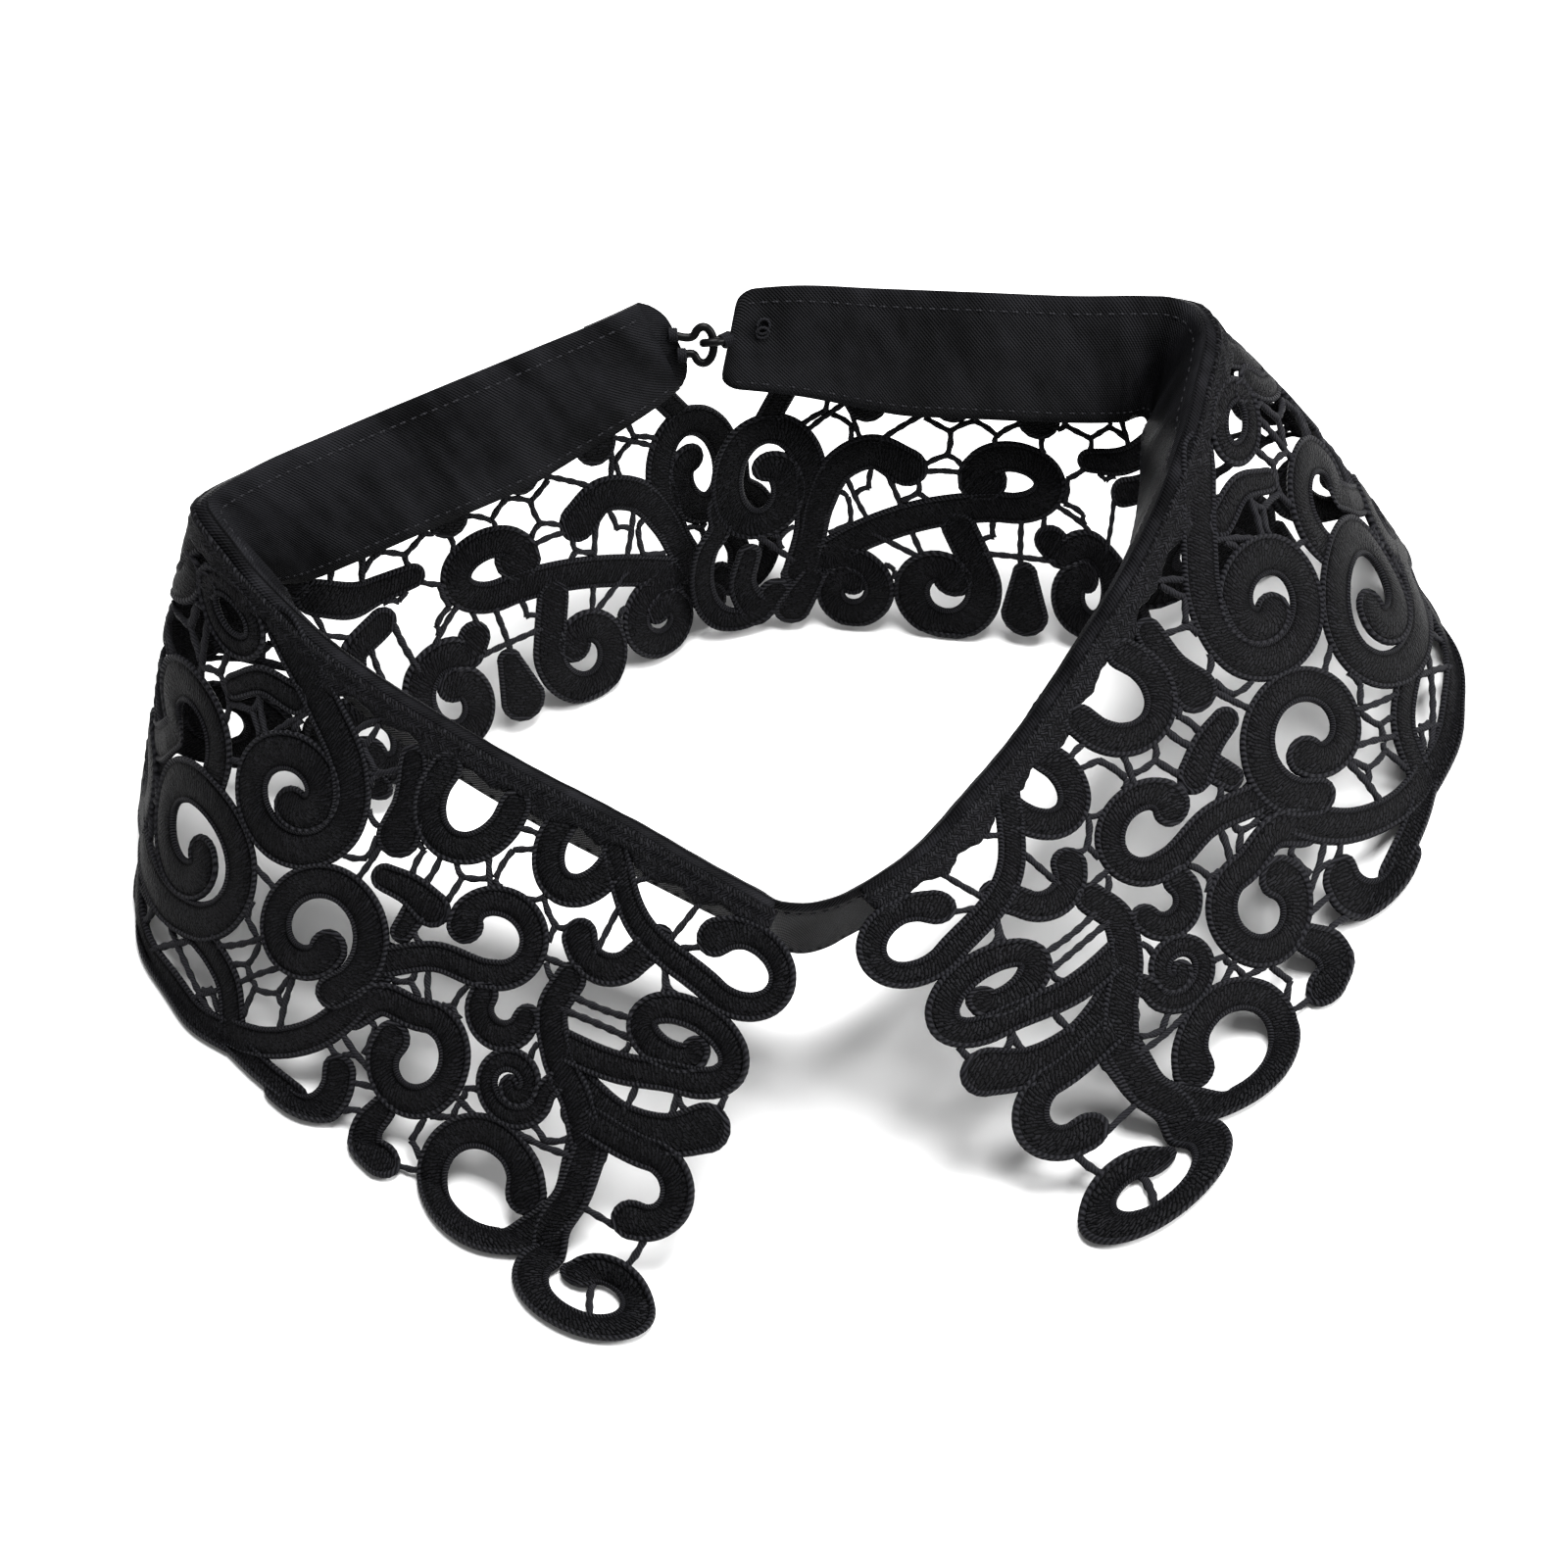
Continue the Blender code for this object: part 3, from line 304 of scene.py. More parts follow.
def scroll_path(row):
    _, s, t, radius, tall, start, sweep, inner, width, end_width, lead = row
    count = max(6, int(abs(sweep) / 24))
    points = [tuple(p) for p in lead]
    for i in range(count + 1):
        u = i / count
        angle = math.radians(start + sweep * u)
        r = radius * (1 - (1 - inner) * u**1.7)
        down = t + r * tall * math.sin(angle)
        points.append((along(s, down, r * math.cos(angle)), down))
    widths = [width] * len(points)
    widths[-1], widths[-2] = end_width, (width + end_width) / 2
    return smooth_path(points, widths)


def stem_path(row):
    _, start_width, end_width, points = row
    return smooth_path(points, np.linspace(start_width, end_width, len(points)))


PATHS = [scroll_path(row) for row in SCROLLS] + [stem_path(row) for row in STEMS]
HEADING_S = np.arange(0.5, 170.5, 0.6)
PATHS.append((np.stack([HEADING_S, np.full_like(HEADING_S, HEADING_WIDE / 2)], axis=1),
              np.full_like(HEADING_S, HEADING_WIDE)))

S_AXIS = np.arange(-16, 192, CELL_S)
T_AXIS = np.arange(-4, 72, CELL_T)


def stamp(field, points, widths):
    """Adds a band to the field, below zero inside thread, with a small fillet where it meets another."""
    reach = float(np.max(widths)) / 2 + 3
    i0, i1 = np.searchsorted(S_AXIS, (points[:, 0].min() - reach, points[:, 0].max() + reach))
    j0, j1 = np.searchsorted(T_AXIS, (points[:, 1].min() - reach, points[:, 1].max() + reach))
    band = np.full((i1 - i0, j1 - j0), 3.0)
    for (s, t), width in zip(points, widths):
        k = float(fan(s, t))
        away = np.hypot((S_AXIS[i0:i1, None] - s) * k, T_AXIS[None, j0:j1] - t) - width / 2
        band = np.minimum(band, away)
    here = field[i0:i1, j0:j1]
    near = np.clip(NECK_FILLET - np.abs(here - band), 0, None) / NECK_FILLET
    field[i0:i1, j0:j1] = np.minimum(here, band) - near**2 * NECK_FILLET / 4


def sample(field, s, t):
    i = min(max((s - S_AXIS[0]) / CELL_S, 0), len(S_AXIS) - 1.001)
    j = min(max((t - T_AXIS[0]) / CELL_T, 0), len(T_AXIS) - 1.001)
    i0, j0, u, v = int(i), int(j), i % 1, j % 1
    return ((field[i0, j0] * (1 - u) + field[i0 + 1, j0] * u) * (1 - v)
            + (field[i0, j0 + 1] * (1 - u) + field[i0 + 1, j0 + 1] * u) * v)


def bar_path(s0, t0, s1, t1):
    count = max(3, int(math.hypot((s1 - s0) * fan((s0 + s1) / 2, (t0 + t1) / 2), t1 - t0) / 0.5))
    points = np.stack([np.linspace(s0, s1, count), np.linspace(t0, t1, count)], axis=1)
    return points, np.full(count, BAR_WIDE)


def in_eye(point):
    """Whether a point lies in the open middle of a scroll."""
    return any(math.hypot((point[0] - s) * fan(s, t), (point[1] - t) / tall) < 0.72 * radius
               for _, s, t, radius, tall, *_ in SCROLLS)


def find_bars(field):
    """Bars straight across each opening from one band to the next, kept a step apart."""
    middles = [((b[0] + b[2]) / 2, (b[1] + b[3]) / 2) for b in BARS]
    found = list(BARS)
    for points, widths in PATHS:
        every = max(1, round(BAR_STEP / 0.6))
        for i in range(2, len(points) - 2, every):
            run = points[i + 1] - points[i - 1]
            k = float(fan(*points[i]))
            run = np.array([run[0] * k, run[1]])
            run /= np.linalg.norm(run) + 1e-9
            for turn in (1, -1):
                out = np.array([run[1] / k, -run[0]]) * turn
                start = widths[i] / 2 - 0.4
                for reach in np.arange(widths[i] / 2 + 1.6, widths[i] / 2 + BAR_REACH, 0.4):
                    s, t = points[i] + out * reach
                    if not (S_AXIS[0] < s < S_AXIS[-1] and 0 < t < 66):
                        break
                    if sample(field, s, t) < -0.5:
                        a, b = points[i] + out * start, np.array([s, t])
                        middle = (a + b) / 2
                        if sample(field, *middle) > 0.7 and not in_eye(middle) and all(
                                math.hypot((middle[0] - m[0]) * k, middle[1] - m[1]) > BAR_STEP * 0.85
                                for m in middles):
                            middles.append(tuple(middle))
                            found.append((*a, *b))
                        break
    return found


def drawn(path):
    """The part of a path's data that the lace is drawn from: points, half widths, and real directions."""
    points, widths = path
    k = fan(points[:, 0], points[:, 1])
    run = np.gradient(points, axis=0) * np.stack([k, np.ones_like(k)], axis=1)
    run /= np.linalg.norm(run, axis=1, keepdims=True) + 1e-9
    return points, widths / 2, run, k


def runs_into(index, end):
    """Whether a path's end lies inside another band, so that it is sewn over there."""
    points, _, run, _ = drawn(PATHS[index])
    tip = points[end] + run[end] * (0.8 if end else -0.8)
    for other, (line, widths) in enumerate(PATHS):
        if other != index:
            away = np.hypot((line[:, 0] - tip[0]) * fan(*tip), line[:, 1] - tip[1]) - widths / 2
            if away.min() < -0.6:
                return True
    return False


# Height of the stitching over the lace's middle, on the face and on the back.
# Columns: distance in from the band's edge, face height, back height.
BAND_HEIGHT = ((0.0, 0.0, 0.0), (0.1, 0.4, 0.32), (0.34, 0.68, 0.5), (0.6, 0.52, 0.42), (0.84, 0.28, 0.3),
               (1.15, 0.5, 0.44), (1.8, 0.6, 0.5), (4.5, 0.7, 0.55))
FACE_STOPS = (0.0, 0.12, 0.34, 0.6, 0.84, 1.15)
BACK_STOPS = (0.34, 0.84, 1.15)
CAP_TURNS = (84, 62, 40, 18)
SINK_LONG, SINK_DEEP = 3.2, 0.5


def across_stops(half):
    """Places across the band, from edge to edge over the face and back under it: (signed, is back)."""
    face = [half - stop for stop in FACE_STOPS] + [(half - FACE_STOPS[-1]) * 0.5]
    back = [half - stop for stop in BACK_STOPS]
    top = [-v for v in face] + [0.0] + face[::-1]
    under = back + [0.0] + [-v for v in back[::-1]]
    return np.array(top + under), np.array([0] * len(top) + [1] * len(under))


def band_rings(index, level):
    """Rings of one embroidered band: (s, t, height, along, across, from edge), with round ends."""
    points, half, run, k = drawn(PATHS[index])
    sinks = [runs_into(index, 0), runs_into(index, -1)]
    steps = np.hypot(np.diff(points[:, 0]) * k[1:], np.diff(points[:, 1]))
    length = np.concatenate([[0], np.cumsum(steps)])
    turn = np.unwrap(np.arctan2(run[:, 1], run[:, 0]))
    bend = np.gradient(turn, np.maximum(length, np.arange(len(length)) * 1e-3))
    rings = []
    caps = [(0, a) for a in CAP_TURNS] + [(i, None) for i in range(len(points))]
    caps += [(len(points) - 1, a) for a in CAP_TURNS[::-1]]
    for i, turned in caps:
        w = half[i]
        out = 0.0 if turned is None else w * math.sin(math.radians(turned)) * (1 if i else -1)
        narrow = 1.0 if turned is None else math.cos(math.radians(turned))
        stops, back = across_stops(w)
        across = stops * narrow
        if turned is None and abs(bend[i]) * w > 0.9:
            limit = 0.9 / abs(bend[i])
            across = np.minimum(across, limit) if bend[i] > 0 else np.maximum(across, -limit)
        from_edge = np.clip(w - np.hypot(across, out), 0, None)
        heights = np.where(back, -np.interp(from_edge, *np.array(BAND_HEIGHT)[:, [0, 2]].T),
                           np.interp(from_edge, *np.array(BAND_HEIGHT)[:, [0, 1]].T))
        at = length[i] + out
        sink = max(SINK_DEEP * max(0.0, 1 - at / SINK_LONG) if sinks[0] else 0.0,
                   SINK_DEEP * max(0.0, 1 - (length[-1] - at) / SINK_LONG) if sinks[1] else 0.0)
        heights = heights * (1 - sink) + level - sink * 0.12
        s = points[i, 0] + (run[i, 0] * out - run[i, 1] * across) / k[i]
        t = points[i, 1] + run[i, 1] * out + run[i, 0] * across
        rings.append(np.stack([s, t, heights, np.full_like(s, at), across, from_edge], axis=1))
    return np.array(rings)


def rings_to_faces(count, around, first):
    """Quads between neighbouring rings, and the two ends."""
    faces = []
    for i in range(count - 1):
        for j in range(around):
            a, b = first + i * around + j, first + i * around + (j + 1) % around
            faces.append((a, b, b + around, a + around))
    faces.append(tuple(first + j for j in reversed(range(around))))
    faces.append(tuple(first + (count - 1) * around + j for j in range(around)))
    return faces


BAR_ROUND, BAR_STEP_ALONG, BAR_TWIST = 8, 0.45, 1.5
BAR_RADIUS, BAR_LOBE = 0.48, 0.07


def bar_rings(bar, seed):
    """Rings of a two-strand twisted bar that sags a little to one side."""
    s0, t0, s1, t1 = bar
    k = fan((s0 + s1) / 2, (t0 + t1) / 2)
    span = math.hypot((s1 - s0) * k, t1 - t0)
    count = max(4, int(span / BAR_STEP_ALONG))
    along_it = np.linspace(0, 1, count)
    side = np.array([-(t1 - t0), (s1 - s0) * k]) / max(span, 1e-6)
    bow = 0.28 * math.sin(seed * 2.4) * np.sin(np.pi * along_it)
    rings = []
    for u, off in zip(along_it, bow):
        angle = np.arange(BAR_ROUND) * 2 * math.pi / BAR_ROUND
        radius = BAR_RADIUS + BAR_LOBE * np.cos(2 * (angle - BAR_TWIST * u * span))
        across, height = radius * np.cos(angle) + off, radius * np.sin(angle)
        s = s0 + (s1 - s0) * u + side[0] * across / k
        t = t0 + (t1 - t0) * u + side[1] * across
        rings.append(np.stack([s, t, height, np.full(BAR_ROUND, u * span), angle * BAR_RADIUS,
                               np.full(BAR_ROUND, 9.0)], axis=1))
    return np.array(rings)


# Soft unevenness of the hanging cloth. Columns: s, t, reach along s, reach along t, height.
SOFT_FOLDS = ((14, 38, 9, 16, 0.5), (33, 18, 7, 12, -0.5), (52, 44, 9, 12, 0.6), (68, 20, 8, 14, -0.4),
              (86, 46, 8, 12, 0.6), (118, 40, 8, 12, -0.5), (134, 34, 7, 14, 0.5), (150, 44, 8, 12, -0.4),
              (166, 30, 7, 14, 0.4), (96, 22, 5, 14, 0.5))


def soft_folds(s, t, lean):
    total = np.zeros_like(s)
    for i, (at_s, at_t, long_s, long_t, height) in enumerate(SOFT_FOLDS):
        shift = lean * 5 * math.sin(i * 1.7)
        total += height * np.exp(-((s - at_s - shift) / long_s) ** 2 - ((t - at_t) / long_t) ** 2)
    return total


def on_leaf(leaf, s, t, height):
    """Points in millimetres of the section rows' frame for places on the lace and heights over its middle."""
    point = leaf.middle(s, t) + leaf.normal(s, t) * (height + soft_folds(s, t, leaf.side))[..., None]
    point[..., 2] = np.maximum(point[..., 2], 0.02)
    return point


def add_piece(name, points, faces, material, uv=None, from_edge=None):
    """A mesh piece from points in the section rows' frame, in millimetres."""
    mesh = bpy.data.meshes.new(name)
    mesh.from_pydata(((np.asarray(points) - ORIGIN) * MM).tolist(), [], faces)
    mesh.materials.append(material)
    if uv is not None:
        corners = np.empty(len(mesh.loops), np.int32)
        mesh.loops.foreach_get("vertex_index", corners)
        layer = mesh.uv_layers.new(name="thread")
        layer.data.foreach_set("uv", np.asarray(uv, np.float32)[corners].ravel())
    if from_edge is not None:
        values = mesh.attributes.new("from_edge", "FLOAT", "POINT")
        values.data.foreach_set("value", np.asarray(from_edge, np.float32))
    mesh.polygons.foreach_set("use_smooth", [True] * len(mesh.polygons))
    obj = bpy.data.objects.new(name, mesh)
    bpy.context.scene.collection.objects.link(obj)
    return obj


def add_rings(name, groups, leaf, material):
    """One mesh of many ringed bands laid on a lace half."""
    points, faces, uv, edge, first = [], [], [], [], 0
    for rings in groups:
        count, around = rings.shape[:2]
        faces += rings_to_faces(count, around, first)
        flat = rings.reshape(-1, 6)
        points.append(flat[:, :3])
        uv.append(flat[:, 3:5])
        edge.append(flat[:, 5])
        first += count * around
    flat = np.vstack(points)
    where = on_leaf(leaf, flat[:, 0], flat[:, 1], flat[:, 2])
    if leaf.side < 0:
        faces = [tuple(reversed(face)) for face in faces]
    return add_piece(name, where, faces, material, np.vstack(uv), np.concatenate(edge))


def math_node(tree, operation, *values):
    """A Math node fed with sockets or plain numbers."""
    node = tree.nodes.new("ShaderNodeMath")
    node.operation = operation
    for socket, value in zip(node.inputs, values):
        if isinstance(value, (int, float)):
            socket.default_value = value
        else:
            tree.links.new(value, socket)
    return node.outputs[0]


def new_group(name, inputs, outputs):
    """A shader node group with number inputs and outputs: (group, input sockets, output sockets)."""
    group = bpy.data.node_groups.new(name, "ShaderNodeTree")
    for label, value in inputs:
        group.interface.new_socket(label, in_out="INPUT", socket_type="NodeSocketFloat").default_value = value
    for label in outputs:
        group.interface.new_socket(label, in_out="OUTPUT", socket_type="NodeSocketFloat")
    return group, group.nodes.new("NodeGroupInput").outputs, group.nodes.new("NodeGroupOutput").inputs


def stitch_group():
    """Rows of short laid stitches: height and tone over a band, from millimetres along and across it; the tone
    follows the height, so the gaps between stitches get painted shade and the stitch tops a painted highlight, over a
    random tone from stitch to stitch.
    """
    group, given, made = new_group("laid_stitches", (("Along", 0), ("Across", 0), ("Pitch", 0.5), ("Stitch", 1.15),
                                                     ("Slant", 0.4)), ("Height", "Tone"))
    slanted = math_node(group, "MULTIPLY_ADD", given["Across"], given["Slant"], given["Along"])
    place = group.nodes.new("ShaderNodeCombineXYZ")
    group.links.new(given["Across"], place.inputs["X"])
    group.links.new(slanted, place.inputs["Y"])
    wobble = group.nodes.new("ShaderNodeTexNoise")
    wobble.inputs["Scale"].default_value = 1.1
    wobble.inputs["Detail"].default_value = 2
    group.links.new(place.outputs[0], wobble.inputs["Vector"])
    bent = group.nodes.new("ShaderNodeVectorMath")
    bent.operation = "MULTIPLY_ADD"
    bent.inputs[1].default_value = (1.4, 0.9, 0)
    group.links.new(wobble.outputs["Color"], bent.inputs[0])
    group.links.new(place.outputs[0], bent.inputs[2])
    rows = group.nodes.new("ShaderNodeTexBrick")
    rows.offset, rows.squash = 0.5, 1.0
    rows.inputs["Color1"].default_value = (0.3, 0.3, 0.3, 1)
    rows.inputs["Color2"].default_value = (1, 1, 1, 1)
    rows.inputs["Mortar"].default_value = (0, 0, 0, 1)
    rows.inputs["Scale"].default_value = 1
    rows.inputs["Mortar Size"].default_value = 0.14
    rows.inputs["Mortar Smooth"].default_value = 1
    group.links.new(bent.outputs[0], rows.inputs["Vector"])
    group.links.new(given["Stitch"], rows.inputs["Brick Width"])
    group.links.new(given["Pitch"], rows.inputs["Row Height"])
    fibre = group.nodes.new("ShaderNodeTexNoise")
    fibre.inputs["Scale"].default_value = 5
    fibre.inputs["Detail"].default_value = 3
    group.links.new(place.outputs[0], fibre.inputs["Vector"])
    height = math_node(group, "MULTIPLY_ADD", fibre.outputs["Fac"], 0.35, rows.outputs["Color"])
    group.links.new(height, made["Height"])
    # Painted shade and highlight: dark in the gaps between stitches, lighter on their raised tops, over random tone
    # from stitch to stitch.
    tone = math_node(group, "MULTIPLY", rows.outputs["Color"], math_node(group, "MULTIPLY_ADD", fibre.outputs["Fac"], 0.9, 0.35))
    group.links.new(tone, made["Tone"])
    return group


def cord_group():
    """A wrapped cord: slanted turns of thread, from millimetres along and across it; its tone is a painted highlight
    on each turn's crest and painted shade between the turns.
    """
    group, given, made = new_group("wrapped_cord", (("Along", 0), ("Across", 0), ("Turn", 0.6), ("Slant", 0.5)),
                                   ("Height", "Tone"))
    slanted = math_node(group, "MULTIPLY_ADD", given["Across"], given["Slant"], given["Along"])
    phase = math_node(group, "MULTIPLY", math_node(group, "DIVIDE", slanted, given["Turn"]), math.pi)
    crest = math_node(group, "ABSOLUTE", math_node(group, "SINE", phase))
    group.links.new(crest, made["Height"])
    # Painted highlight and shade: the tone rises with each turn's crest and falls between the turns.
    group.links.new(math_node(group, "MULTIPLY_ADD", crest, 0.7, 0.3), made["Tone"])
    return group


LAID_STITCHES, WRAPPED_CORD = stitch_group(), cord_group()


def place_group(tree, group, **values):
    """A node group in a material, with its numbers set and its sockets linked."""
    node = tree.nodes.new("ShaderNodeGroup")
    node.node_tree = group
    for label, value in values.items():
        socket = node.inputs[label]
        if isinstance(value, (int, float)):
            socket.default_value = value
        else:
            tree.links.new(value, socket)
    return node


def thread_material(name, dark, light, rough, sheen):
    """Principled shader of stitched thread, still without its stitches: (material, tree, shader, mix, bump)."""
    made = bpy.data.materials.new(name)
    made.use_nodes = True
    tree = made.node_tree
    shader = tree.nodes["Principled BSDF"]
    shader.inputs["Roughness"].default_value = rough
    shader.inputs["Specular IOR Level"].default_value = 0.045
    shader.inputs["Sheen Weight"].default_value = sheen
    shader.inputs["Sheen Roughness"].default_value = 0.45
    shader.inputs["Sheen Tint"].default_value = (0.7, 0.72, 0.78, 1)
    mix = tree.nodes.new("ShaderNodeMix")
    mix.data_type = "RGBA"
    mix.inputs["A"].default_value = (*dark, 1)
    mix.inputs["B"].default_value = (*light, 1)
    tree.links.new(mix.outputs["Result"], shader.inputs["Base Color"])
    bump = tree.nodes.new("ShaderNodeBump")
    tree.links.new(bump.outputs["Normal"], shader.inputs["Normal"])
    return made, tree, mix, bump


def along_across(tree):
    """Sockets of the thread layer's millimetres along and across."""
    uv = tree.nodes.new("ShaderNodeUVMap")
    uv.uv_map = "thread"
    split = tree.nodes.new("ShaderNodeSeparateXYZ")
    tree.links.new(uv.outputs["UV"], split.inputs[0])
    return split.outputs["X"], split.outputs["Y"]


def lace_material():
    made, tree, mix, bump = thread_material("lace_thread", THREAD_DARK, THREAD_LIGHT, 0.5, 0.004)
    along_it, across = along_across(tree)
    rows = place_group(tree, LAID_STITCHES, Along=along_it, Across=across)
    turns = place_group(tree, WRAPPED_CORD, Along=along_it, Across=across)
    edge = tree.nodes.new("ShaderNodeAttribute")
    edge.attribute_name = "from_edge"
    cord = tree.nodes.new("ShaderNodeMapRange")
    cord.interpolation_type = "SMOOTHSTEP"
    cord.inputs["From Min"].default_value, cord.inputs["From Max"].default_value = 0.66, 0.82
    cord.inputs["To Min"].default_value, cord.inputs["To Max"].default_value = 1, 0
    tree.links.new(edge.outputs["Fac"], cord.inputs["Value"])
    for label, target in (("Height", bump.inputs["Height"]), ("Tone", mix.inputs["Factor"])):
        chosen = tree.nodes.new("ShaderNodeMix")
        tree.links.new(cord.outputs["Result"], chosen.inputs["Factor"])
        low = rows.outputs[label]
        if label == "Tone":
            # Painted shade: the fill's tone is darkened in the groove just inside the raised edge cord, and held
            # lower over the rest of the fill.
            from_groove = math_node(tree, "ABSOLUTE", math_node(tree, "SUBTRACT", edge.outputs["Fac"], 0.86))
            painted_groove_shade = math_node(tree, "MINIMUM", math_node(tree, "MULTIPLY_ADD", from_groove, 3.2, 0.05), 0.62)
            low = math_node(tree, "MULTIPLY", low, painted_groove_shade)
        tree.links.new(low, chosen.inputs["A"])
        tree.links.new(turns.outputs[label], chosen.inputs["B"])
        tree.links.new(chosen.outputs["Result"], target)
    bump.inputs["Distance"].default_value = 0.0004
    return made


def bar_material(name="bar_thread", light=THREAD_LIGHT):
    made, tree, mix, bump = thread_material(name, THREAD_DARK, light, 0.55, 0.006)
    along_it, across = along_across(tree)
    turns = place_group(tree, WRAPPED_CORD, Along=along_it, Across=across, Turn=0.5, Slant=0.8)
    tree.links.new(turns.outputs["Height"], bump.inputs["Height"])
    tree.links.new(turns.outputs["Tone"], mix.inputs["Factor"])
    bump.inputs["Distance"].default_value = 0.0001
    return made


def heading_rings(s_from, s_to, top, wide):
    """The dense zigzag heading that the half is sewn on by, as one band along the roll line."""
    at = np.arange(s_from, s_to, 0.5)
    stops = (0.0, 0.15, 0.5, 1.2, 2.0, wide - 0.9, wide - 0.3, wide)
    rings = []
    for s in at:
        tooth = 0.05 * math.sin(s * 2.9) + 0.08 * math.sin(s * 1.13 + 1)
        tooth += 0.28 * math.sin(s * 0.71) + 0.2 * math.sin(s * 0.33 + 2)
        face = np.array(stops) + np.array([0, 0, 0, 0, 0, 1, 1, 1]) * tooth * 2
        heights = np.interp(np.minimum(face, face[-1] - face), (-1, 0, 0.15, 0.5, 2), (0, 0, 0.42, 0.62, 0.62))
        heights = heights * min(1, 0.25 + (s - s_from) / 1.5, 0.25 + (s_to - s) / 1.5) + 0.13 * np.sin(face * 3.1 + 1.2 * math.sin(s * 1.9)) * (face > 0.3)
        back = face[1:-1][::-1]
        t = np.concatenate([face, back]) + top
        height = np.concatenate([heights, np.full(len(back), -0.5)])
        rings.append(np.stack([np.full_like(t, s), t, height, np.full_like(t, s), t, np.full_like(t, 9.0)], axis=1))
    return np.array(rings)


def heading_material():
    made, tree, mix, bump = thread_material("heading_thread", THREAD_DARK, THREAD_LIGHT, 0.5, 0.004)
    along_it, across = along_across(tree)
    zig = math_node(tree, "PINGPONG", across, 0.9)
    skew = math_node(tree, "MULTIPLY_ADD", zig, 0.9, along_it)
    rows = place_group(tree, LAID_STITCHES, Along=skew, Across=across, Pitch=0.5, Stitch=0.9, Slant=0.0)
    tree.links.new(rows.outputs["Height"], bump.inputs["Height"])
    tree.links.new(rows.outputs["Tone"], mix.inputs["Factor"])
    bump.inputs["Distance"].default_value = 0.00026
    return made


NET_CELL, NET_JITTER, NET_REACH = 7.2, 1.2, 1.3


def inside_cloth(field):
    """The grid's points that lie inside the cloth's outline, its openings too, but not past its hem."""
    near = field < NET_REACH
    closed = near.copy()
    for a in np.arange(12) * math.pi / 6:
        shift = (round(NET_REACH / CELL_S * math.cos(a)), round(NET_REACH / CELL_T * math.sin(a)))
        closed &= np.roll(near, shift, axis=(0, 1))
    outside = np.zeros_like(closed)
    outside[[0, -1], :] = outside[:, [0, -1]] = True
    while True:
        grown = outside.copy()
        for axis in (0, 1):
            grown |= np.roll(outside, 1, axis=axis) | np.roll(outside, -1, axis=axis)
        grown = (grown & ~closed) | outside
        if (grown == outside).all():
            return ~outside
        outside = grown


def anchored(bar, field):
    """A bar lengthened at both ends until it runs into thread, or nothing where it meets none."""
    ends = np.array([bar[:2], bar[2:]], float)
    way = (ends[1] - ends[0]) / np.hypot(*(ends[1] - ends[0]))
    for end, out in ((0, -way), (1, way)):
        for reach in np.arange(0, 5, 0.25):
            if sample(field, *(ends[end] + out * reach)) < -0.5:
                ends[end] += out * reach
                break
        else:
            return None
    return tuple(ends.ravel())


def beside_bar(middle):
    """Whether a thread would lie beside one of the listed bars."""
    return any(math.hypot(middle[0] - (s0 + s1) / 2, middle[1] - (t0 + t1) / 2) < 4.2 for s0, t0, s1, t1 in BARS)


def net_threads(field):
    """Sides of an uneven honeycomb, cut where they meet a band, without loose ends: (s, t, s, t) rows."""
    inside = inside_cloth(field)
    high = NET_CELL * 0.866
    across, down = int(270 / NET_CELL), int(76 / high)
    jog = np.random.default_rng(5).uniform(-NET_JITTER, NET_JITTER, (across + 3, down + 3, 2))

    def corner(i, j, lower):
        cells = ((i + 1, j), (i, j + 1), (i + lower, j + lower))
        return sum(np.array([-62 + a * NET_CELL + b * NET_CELL / 2, -6 + b * high]) + jog[a, b] for a, b in cells) / 3

    threads, steps = [], np.linspace(0, 1, 13)
    for i in range(1, across):
        for j in range(1, down):
            for i2, j2 in ((i, j), (i - 1, j), (i, j - 1)):
                a, b = corner(i, j, 0), corner(i2, j2, 1)
                free = [bool(sample(field, *(a + (b - a) * u)) > -0.1) for u in steps]
                n = 0
                while n < 13:
                    m = n
                    while m < 13 and free[m] == free[n]:
                        m += 1
                    first, last = a + (b - a) * steps[max(n - 1, 0)], a + (b - a) * steps[min(m, 12)]
                    middle = (first + last) / 2
                    cells = [(int((s - S_AXIS[0]) / CELL_S), int((t - T_AXIS[0]) / CELL_T))
                             for s, t in (first * 0.8 + last * 0.2, middle, first * 0.2 + last * 0.8)]
                    held = free[n] and m - n > 3 and -10 < middle[0] < 188 and not in_eye(middle)
                    if held and all(inside[cell] for cell in cells) and not beside_bar(middle):
                        threads.append(((i, j, 0) if n == 0 else None, (i2, j2, 1) if m == 13 else None, (*first, *last)))
                    n = m
    while True:
        ends = [end for thread in threads for end in thread[:2]]
        kept = [thread for thread in threads if all(end is None or ends.count(end) > 1 for end in thread[:2])]
        if len(kept) == len(threads):
            return [thread[2] for thread in threads]
        threads = kept


